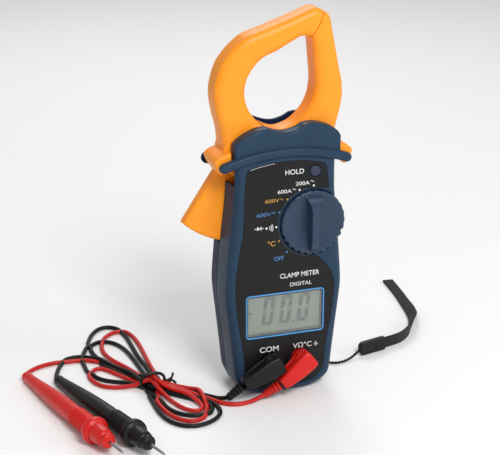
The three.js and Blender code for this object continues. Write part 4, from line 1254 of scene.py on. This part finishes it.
def probe_body(name, tip, tail):
    length = float(np.linalg.norm(np.array(tail, float) - np.array(tip)))
    profile = [
        (0, 15.7), (1.25, 15.7), (2.6, 15.8), (3.5, 16.1), (3.95, 16.7), (4.05, 17.4), (4.05, 18.6),
        (3.9, 18.9), (3.6, 19.1), (3.6, 19.7), (4.1, 20.0), (4.6, 20.5), (4.9, 22), (5.4, 27.5),
        (5.5, 30.0), (6.2, 30.5), (7.0, 30.9), (7.45, 31.5), (7.6, 32.4), (7.6, 33.8), (7.45, 34.7),
        (6.9, 35.3), (6.1, 35.6), (5.3, 35.9), (5.2, 36.6),
    ]
    for k in range(8):
        s = 37.2 + 2.2 * k
        profile += [
            (5.0, s), (5.0, s + 0.55), (5.55, s + 0.75), (5.68, s + 1.1), (5.68, s + 1.45),
            (5.55, s + 1.8), (5.0, s + 2.0),
        ]
    profile += [
        (4.95, 55.5), (5.0, 56.5), (5.15, 59), (5.2, 64), (5.15, 70), (5.0, 78), (4.7, 86), (4.3, 94),
        (3.85, 102), (3.4, 110), (3.05, length - 5.2), (2.95, length - 4), (3.02, length - 3),
        (3.0, length - 1.4), (2.75, length - 0.5), (2.2, length - 0.05), (1.45, length),
        (1.45, length - 3), (0, length - 3),
    ]
    return smooth(lathe(name, tip, tail, profile, 72), 40)


def probe_needle(name, tip, tail):
    profile = [(0, 0), (0.14, 0.15), (0.38, 1.0), (0.8, 3.3), (0.84, 3.7), (0.84, 22), (0, 22)]
    return smooth(lathe(name, tip, tail, profile, 36))


for colour, probe in PROBES.items():
    body = probe_body(f"{colour}_probe_grip", **probe)
    needle = probe_needle(f"{colour}_probe_point", **probe)
    place(body, "root", HARD_SLOT[colour], f"{colour}_probe_body", material=HARD[colour])
    place(needle, "root", "steel", f"{colour}_probe_needle", material=NEEDLE)

# ---------------------------------------------------------------- leads
# Each lead leaves its plug, makes two loops above the tie and two below it, and goes on to its probe.
TIE = (-71.0, 9.6)
SLOTS = {  # where each pass through the tie lies: sideways from its middle, and height
    "black": [(3.9, 1.3), (1.3, 1.3), (-1.3, 1.3), (-3.9, 1.3), (-2.6, 3.6)],
    "red": [(0.0, 3.6), (2.6, 3.6), (1.3, 5.9), (-1.3, 5.9), (0.1, 8.1)],
}
ROUTES = {
    "black": [
        [(-38.2, -20.6), (-41.1, -17), (-45.3, -10.8), (-52, -6.3), (-60, -2.4), (-66, 3)],
        [
            (-66.4, 22), (-67.2, 34), (-68.5, 52.5), (-67.9, 79), (-68.9, 93), (-73.4, 102.4),
            (-79.5, 102.8), (-86.5, 95.6), (-91.6, 84.6), (-93.6, 75), (-93.6, 63), (-91.8, 51),
            (-86.4, 38), (-79.5, 25),
        ],
        [
            (-75.2, -2), (-76.2, -13), (-75.8, -27), (-72.2, -38), (-66, -44), (-58, -45), (-50.5, -42),
            (-44.2, -36.6), (-41.6, -30.5), (-42.9, -24.5), (-47.2, -16.5), (-54, -8.5), (-62, -0.5),
        ],
        [
            (-71.4, 22), (-71.6, 40), (-72.8, 62), (-76.6, 76), (-83, 82), (-90.4, 79.5), (-96.4, 72.7),
            (-100.8, 61), (-102.2, 50.4), (-101.6, 38.5), (-98.4, 29), (-92.3, 24), (-84, 20.6),
            (-77.5, 15.5),
        ],
        [
            (-73, -2), (-71.6, -14.8), (-68, -25.3), (-62, -31.8), (-56, -34), (-50, -33.2),
            (-45.4, -28.8), (-45.4, -22), (-49.6, -14.6), (-57, -6.6), (-65, 1.4),
        ],
        [
            (-74.5, 17.5), (-80, 30), (-86.6, 43), (-93.6, 55.5), (-100, 63.4), (-106, 65.6), (-111, 63),
            (-115.2, 57.5), (-118.2, 50), (-120.8, 43), (-122.2, 37.6),
        ],
    ],
    "red": [
        [
            (-17.5, -24), (-22, -26.4), (-28, -27.9), (-34, -27.4), (-39, -24.2), (-42.6, -19),
            (-45.6, -13.4), (-51, -7.2), (-58.5, -1.2), (-66, 4.4),
        ],
        [
            (-67.4, 18), (-65.4, 28), (-64.8, 40), (-63.6, 60), (-63.2, 77), (-64.6, 88), (-68, 93.6),
            (-72.8, 93.4), (-78.3, 90), (-83.2, 83.4), (-86.4, 73.6), (-87.2, 64.3), (-85.4, 54),
            (-80, 42.7), (-75, 29), (-72.6, 18),
        ],
        [
            (-71.2, 1), (-72.6, -9), (-73, -20), (-69.6, -32), (-63.6, -39), (-57, -39.6), (-51.6, -34),
            (-48.6, -25), (-47.4, -14), (-49, -4), (-53.4, 3.6), (-60, 7.8), (-65.6, 9.2),
        ],
        [
            (-77, 18), (-84, 32), (-90.4, 43), (-95.4, 46.6), (-100, 43.4), (-102.6, 36.4),
            (-102.6, 27.6), (-99.6, 20.2), (-94, 15.9), (-86, 15), (-78.5, 13),
        ],
        [
            (-68.4, 1), (-65.4, -12.6), (-61.8, -23), (-57.2, -28.8), (-52.2, -29.4), (-49, -25.4),
            (-49.6, -18.4), (-54, -9.4), (-60.4, -1.4), (-66.6, 4),
        ],
        [
            (-75.4, 18), (-81.6, 32.4), (-87.4, 45.4), (-92.8, 54.6), (-99, 58.4), (-106.6, 59.4),
            (-118, 60.4), (-128, 58.2), (-135.4, 53.6), (-138.4, 48.8),
        ],
    ],
}
# Preferred height of each stretch before the cords settle on each other.
LAYER = {"black": [1.3, 6.6, 1.3, 4.2, 1.3, 8.0], "red": [3.8, 1.3, 6.2, 1.3, 4.0, 1.3]}


def lead_line(colour):
    """The route with its passes through the tie, as even samples: targets, and which are held."""
    points = [past(PLUGS[colour]["arm"], PLUGS[colour]["end"], d) for d in (-1.2, 0.6)]
    stretches = ROUTES[colour]
    held = [True, True]
    for k, stretch in enumerate(stretches):
        for x, y in stretch:
            points.append(np.array((x, y, LAYER[colour][k])))
            held.append(False)
        if k < len(SLOTS[colour]):
            dx, z = SLOTS[colour][k]
            heading = 1 if k % 2 == 0 else -1
            for dy in (-1.6, 1.6):
                points.append(np.array((TIE[0] + dx, TIE[1] + dy * heading, z)))
                held.append(True)
    probe = PROBES[colour]
    for d in (0.5, -2.5):
        points.append(past(probe["tip"], probe["tail"], d))
        held.append(True)
    steps = 24
    fine = np.array(spline(points, (len(points) - 1) * steps))
    flags = [held[i // steps] and held[-(-i // steps)] for i in range(len(fine))]
    along = np.concatenate([[0], np.cumsum(np.linalg.norm(np.diff(fine, axis=0), axis=1))])
    count = int(along[-1] / 2.0) + 1
    wanted = np.linspace(0, along[-1], count)
    even = np.stack([np.interp(wanted, along, fine[:, i]) for i in range(3)], 1)
    near = np.searchsorted(along, wanted).clip(0, len(fine) - 1)
    return even, np.array([flags[i] for i in near])


def settled_leads():
    """Lets both leads sink to the floor and rest on each other, without passing through."""
    floor = CORD / 2 + 0.03
    parts = {colour: lead_line(colour) for colour in ROUTES}
    p = np.concatenate([parts[c][0] for c in parts])
    held = np.concatenate([parts[c][1] for c in parts])
    owner = np.concatenate([np.full(len(parts[c][0]), i) for i, c in enumerate(parts)])
    order = np.arange(len(p))
    start = p.copy()
    inner = ~held
    for i in range(len(parts)):
        inner[order[owner == i][[0, -1]]] = False
    apart = (owner[:, None] != owner[None]) | (np.abs(order[:, None] - order[None]) > 4)
    upper = np.triu(np.ones((len(order), len(order)), bool), 1) & apart
    least = CORD * 1.05
    for step in range(420):
        calm = step > 330  # the last steps only smooth and part the leads
        p[inner, 2] -= 0.0 if calm else 0.05
        p[inner, :2] += (start[inner, :2] - p[inner, :2]) * (0.0 if calm else 0.02)
        middle = (np.roll(p, 1, axis=0) + np.roll(p, -1, axis=0)) / 2
        share = np.array((0.12, 0.12, 0.3)) * (0.3 if calm else 1)
        p[inner] += (middle[inner] - p[inner]) * share
        away = p[:, None, :] - p[None]
        gap = np.sqrt((away**2).sum(2))
        i, j = np.nonzero((gap < least) & upper)
        if len(i):
            push = away[i, j]
            size = np.maximum(gap[i, j], 1e-6)[:, None]
            push = push / size * (least - size) * 0.5
            total = np.zeros_like(p)
            hits = np.zeros(len(p))
            np.add.at(total, i, push)
            np.add.at(total, j, -push)
            np.add.at(hits, i, 1)
            np.add.at(hits, j, 1)
            total /= np.maximum(1, hits * 0.6)[:, None]
            p[inner] += total[inner]
        p[inner, 2] = np.maximum(p[inner, 2], floor)
    lines = {}
    for i, colour in enumerate(parts):
        line = p[owner == i]
        for _ in range(2):
            line[1:-1] = line[1:-1] * 0.6 + (line[:-2] + line[2:]) * 0.2
        line[2:-2, 2] = np.maximum(line[2:-2, 2], floor)
        lines[colour] = np.array(spline(line, (len(line) - 1) * 2))
    return lines


def cable(name, points, radius, material, sides=5):
    """A round cord as a curve of one open line."""
    data = bpy.data.curves.new(name, "CURVE")
    data.dimensions = "3D"
    line = data.splines.new("POLY")
    line.points.add(len(points) - 1)
    for point, p in zip(line.points, points):
        point.co = (p[0] * MM, p[1] * MM, p[2] * MM, 1)
    data.bevel_depth = radius * MM
    data.bevel_resolution = sides
    data.use_fill_caps = True
    data.materials.append(material)
    return link(name, data)


LEAD_LINES = settled_leads()


def tie_around():
    """A wire tie: two turns round the waist, then twisted together with its ends standing out."""
    width, height = 7.0, 5.2
    points = []
    turns, per_turn = 2, 40
    for k in range(turns * per_turn + 1):
        a = 2 * math.pi * k / per_turn - math.pi / 5
        x = width * math.copysign(abs(math.cos(a)) ** 0.8, math.cos(a))
        z = 5.25 + (height - 0.35) * math.copysign(abs(math.sin(a)) ** 0.85, math.sin(a))
        points.append((TIE[0] + x, TIE[1] - 0.9 + 1.8 * k / (turns * per_turn), max(0.8, z)))
    return points


def tube(name, points, radius, sides=14):
    """A round bar along a line, as a mesh."""
    line = np.array(points, float)
    along = np.gradient(line, axis=0)
    along /= np.linalg.norm(along, axis=1)[:, None]
    side = np.cross(along[0], (0.3, 0.2, 1.0))
    rings = []
    for p, t in zip(line, along):
        side = side - t * side.dot(t)
        side /= np.linalg.norm(side)
        other = np.cross(t, side)
        rings.append([
            p + radius * (
                math.cos(2 * math.pi * i / sides) * side + math.sin(2 * math.pi * i / sides) * other
            )
            for i in range(sides)
        ])
    return loft(name, rings)


def wire_tie():
    loop = tube("tool", tie_around(), 0.78)
    root = np.array((TIE[0] + 6.9, TIE[1], 3.2))
    heading = np.array((0.93, 0.36, 0.08))
    heading /= np.linalg.norm(heading)
    a = np.cross(heading, (0, 0, 1))
    a /= np.linalg.norm(a)
    b = np.cross(heading, a)
    strands = [loop]
    for phase in (0, math.pi):
        line = []
        for k in range(41):
            s = k / 40
            angle = phase + 2 * math.pi * 2.2 * min(s, 0.7) / 0.7
            spread = 0.62 + (2.6 * ((s - 0.7) / 0.3) ** 1.4 if s > 0.7 else 0)
            line.append(root + heading * 7.5 * s + spread * (math.cos(angle) * a + math.sin(angle) * b))
        strands.append(tube("tool", line, 0.7))
    return merged("wire_tie", strands)


tie = place(wire_tie(), "root", "black_plastic", "twist_tie", material=BLACK)
for colour, line in LEAD_LINES.items():
    lead = cable(f"{colour}_test_lead", line, CORD / 2, RUBBERS[colour])
    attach(lead, "root")
    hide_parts(f"{colour}_lead_hank", f"{colour}_lead_plug_side", f"{colour}_lead_probe_side")

# ---------------------------------------------------------------- wrist strap
STRAP_CORD = [
    (31.2, 11, 8.6), (33, 11.4, 4.6), (36.2, 9, 1.6), (41, 6.4, 1.1), (47, 6.6, 1.1), (53, 9.2, 1.5),
    (59.2, 12.3, 3.5), (62.5, 13.6, 4.3),
]
STRAP_LINE = [
    (79.2, 18.6), (91.7, 22.7), (101, 30.6), (107.6, 40.4), (115.3, 56.1), (121.8, 86), (125.7, 117),
]
STRAP_WIDTH, STRAP_THICKNESS = 7.0, 1.5


def even_line(points, steps):
    fine = np.array(spline(points, 400))
    along = np.concatenate([[0], np.cumsum(np.linalg.norm(np.diff(fine, axis=0), axis=1))])
    wanted = np.linspace(0, along[-1], steps + 1)
    return np.stack([np.interp(wanted, along, fine[:, i]) for i in range(fine.shape[1])], 1), along[-1]


def twisted_cord(points):
    line, length = even_line(points, 220)
    along = np.gradient(line, axis=0)
    along /= np.linalg.norm(along, axis=1)[:, None]
    strands = []
    for phase in (0, math.pi):
        path = []
        for k, (p, t) in enumerate(zip(line, along)):
            side = np.cross(t, (0.05, 0.02, 1.0))
            side /= np.linalg.norm(side)
            up = np.cross(side, t)
            a = phase + 2 * math.pi * length / 4.2 * k / 220
            path.append(p + 0.42 * (math.cos(a) * side + math.sin(a) * up))
        strands.append(tube("tool", path, 0.45, 10))
    return merged("strap_string", strands), line, length


def strap_band():
    """Doubled webbing: on edge at the slider, turning flat towards the fold at its far end."""
    steps = 150
    line, length = even_line(STRAP_LINE, steps)
    along = np.gradient(line, axis=0)
    along /= np.linalg.norm(along, axis=1)[:, None]
    w, h = STRAP_WIDTH / 2, STRAP_THICKNESS / 2
    section = [
        (-w, 0.08), (-w, h - 0.16), (-w + 0.16, h), (-w / 2, h + 0.02), (0, h), (w / 2, h + 0.02),
        (w - 0.16, h), (w, h - 0.16), (w, 0.08), (w - 0.3, 0), (w, -0.08), (w, -h + 0.16), (w - 0.16, -h),
        (w / 2, -h - 0.02), (0, -h), (-w / 2, -h - 0.02), (-w + 0.16, -h), (-w, -h + 0.16), (-w, -0.08),
        (-w + 0.3, 0),
    ]
    rings, weave, centres = [], [], []
    for k, (p, t) in enumerate(zip(line, along)):
        s = k / steps
        x = min(1.0, max(0.0, (s - 0.15) / 0.6))
        lean = math.radians(84 * (1 - x * x * (3 - 2 * x)))
        flat = np.array((t[1], -t[0], 0))
        across = np.array((flat[0] * math.cos(lean), flat[1] * math.cos(lean), math.sin(lean)))
        face = np.cross(np.array((t[0], t[1], 0)), across)
        middle = np.array((p[0], p[1], 0.12 + w * math.sin(lean) + h * math.cos(lean)))
        scale = {0: 0.85, 1: 0.97}.get(min(k, steps - k), 1.0)
        rings.append([middle + across * a + face * b * scale for a, b in section])
        weave += [(s * length, a + (9 if b < 0 else 0), 0) for a, b in section]
        centres.append(middle)
    band = loft("strap_webbing", rings)
    given = band.data.attributes.new("weave", "FLOAT_VECTOR", "POINT")
    given.data.foreach_set("vector", np.array(weave).ravel())
    return smooth(band, 50), centres


def strap_slider():
    outline = [
        *arc((-6.6, 3.0), 3.0, 180, 270, 12), (8.6, 0.0), *arc((8.8, 0.6), 0.6, -90, 0, 5),
        *arc((8.8, 7.6), 0.6, 0, 90, 5), *arc((-6.6, 5.2), 3.0, 90, 180, 12),
    ]
    slider = pillow(
        "cord_slider", parted(outline, 1.2), -2.0, 2.0, (0.9, 0.8), (0.9, 0.8), spacing=1.0, rings=5,
    )
    slot = rounded_rectangle(4.2, 1.5, 1.4, 4.1, 6, x=-1.8)
    cut(
        slider, pillow("tool", slot, -3, -1.55, (0, 0), (0.5, 0.3), spacing=1),
        pillow("tool", slot, 1.55, 3, (0.5, 0.3), spacing=1),
    )
    cleaned(slider, 0.1)
    turn = Matrix.Rotation(math.atan2(4.4, 17.7), 4, "Z")
    slider.data.transform(Matrix.Translation((0.0694, 0.0154, 0.0001)) @ turn)
    return slider


slider = place(strap_slider(), "root", "black_plastic", "strap_slider", material=BLACK)
string, string_line, string_length = twisted_cord(STRAP_CORD)
place(string, "root", "webbing", "strap_cord", material=BLACK_RUBBER)
band, band_line = strap_band()
place(band, "root", "webbing", "strap_band", material=WEBBING)

# ---------------------------------------------------------------- CAD nodes that stay
KEPT = {
    "display_panel": LCD, "display_contact_strip_lower": BLACK_RUBBER,
    "display_contact_strip_upper": BLACK_RUBBER, "moving_core": FERRITE, "fixed_core": FERRITE,
    "pickup_coil": COPPER, "jaw_pivot_pin": STEEL, "trigger_return_spring": STEEL, "contact_rotor": WHITE,
    "contact_wiper": BRASS, "detent_ball": STEEL, "detent_spring": STEEL, "hold_switch": BLACK,
    "circuit_board": BOARD, "buzzer": BLACK, "com_socket": BRASS, "volt_socket": BRASS,
    "battery_tray": BLACK, "cell_1": CELL, "cell_2": CELL, "cell_contact_lower": BRASS,
    "cell_contact_upper": BRASS,
}
for name, made in KEPT.items():
    for slot in NODES[name].material_slots:
        slot.material = made
    smooth(NODES[name], 35)
left_out = [n for n, o in NODES.items() if n not in KEPT and not o.hide_render]
if left_out:
    raise RuntimeError(f"no finish was chosen for {left_out}")

# ---------------------------------------------------------------- floor, light and camera
floor_mesh = bpy.data.meshes.new("studio_floor")
floor_mesh.from_pydata([(-6, -6, 0), (6, -6, 0), (6, 6, 0), (-6, 6, 0)], [], [(0, 1, 2, 3)])
floor = link("studio_floor", floor_mesh)
floor.location.z = -0.0001
floor_mesh.materials.append(
    finish_of("studio paper", (0.93, 0.93, 0.93, 1), 0.8, grain=300, bump=0.02, vary=0.004),
)

world = bpy.data.worlds.new("studio")
bpy.context.scene.world = world
world.use_nodes = True
world.node_tree.nodes["Background"].inputs["Color"].default_value = (1, 1, 1, 1)
world.node_tree.nodes["Background"].inputs["Strength"].default_value = 0.45


def area_light(name, place_at, aim, size, power):
    data = bpy.data.lights.new(name, "AREA")
    data.shape, data.size, data.energy = "DISK", size, power
    lamp = link(name, data)
    lamp.location = place_at
    lamp.rotation_euler = (Vector(aim) - Vector(place_at)).to_track_quat("-Z", "Y").to_euler()


area_light("key", (0.05, -0.95, 1.0), (0, 0, 0.08), 0.45, 10.5)
area_light("fill", (0.9, -0.7, 0.5), (0, 0, 0.08), 0.6, 2.5)
area_light("back", (0.2, 0.9, 0.9), (0, 0, 0.1), 0.6, 4.0)

AZIMUTH, ELEVATION, ROLL = math.radians(-19.112), math.radians(19.995), math.radians(0.13)
CAMERA_AT = Vector((-0.2653, -0.7223, 0.3745))
ahead = Vector((
    -math.sin(AZIMUTH) * math.cos(ELEVATION), math.cos(AZIMUTH) * math.cos(ELEVATION), -math.sin(ELEVATION),
))
right = ahead.cross(Vector((0, 0, 1))).normalized()
above = right.cross(ahead)
right, above = (
    right * math.cos(ROLL) + above * math.sin(ROLL),
    above * math.cos(ROLL) - right * math.sin(ROLL),
)
camera_data = bpy.data.cameras.new("camera")
camera_data.lens, camera_data.sensor_width, camera_data.clip_start = 104.1, 36, 0.01
camera = link("camera", camera_data)
camera.matrix_world = Matrix.Translation(CAMERA_AT) @ Matrix((right, above, -ahead)).transposed().to_4x4()
bpy.context.scene.camera = camera
bpy.context.scene.view_settings.view_transform = "Standard"
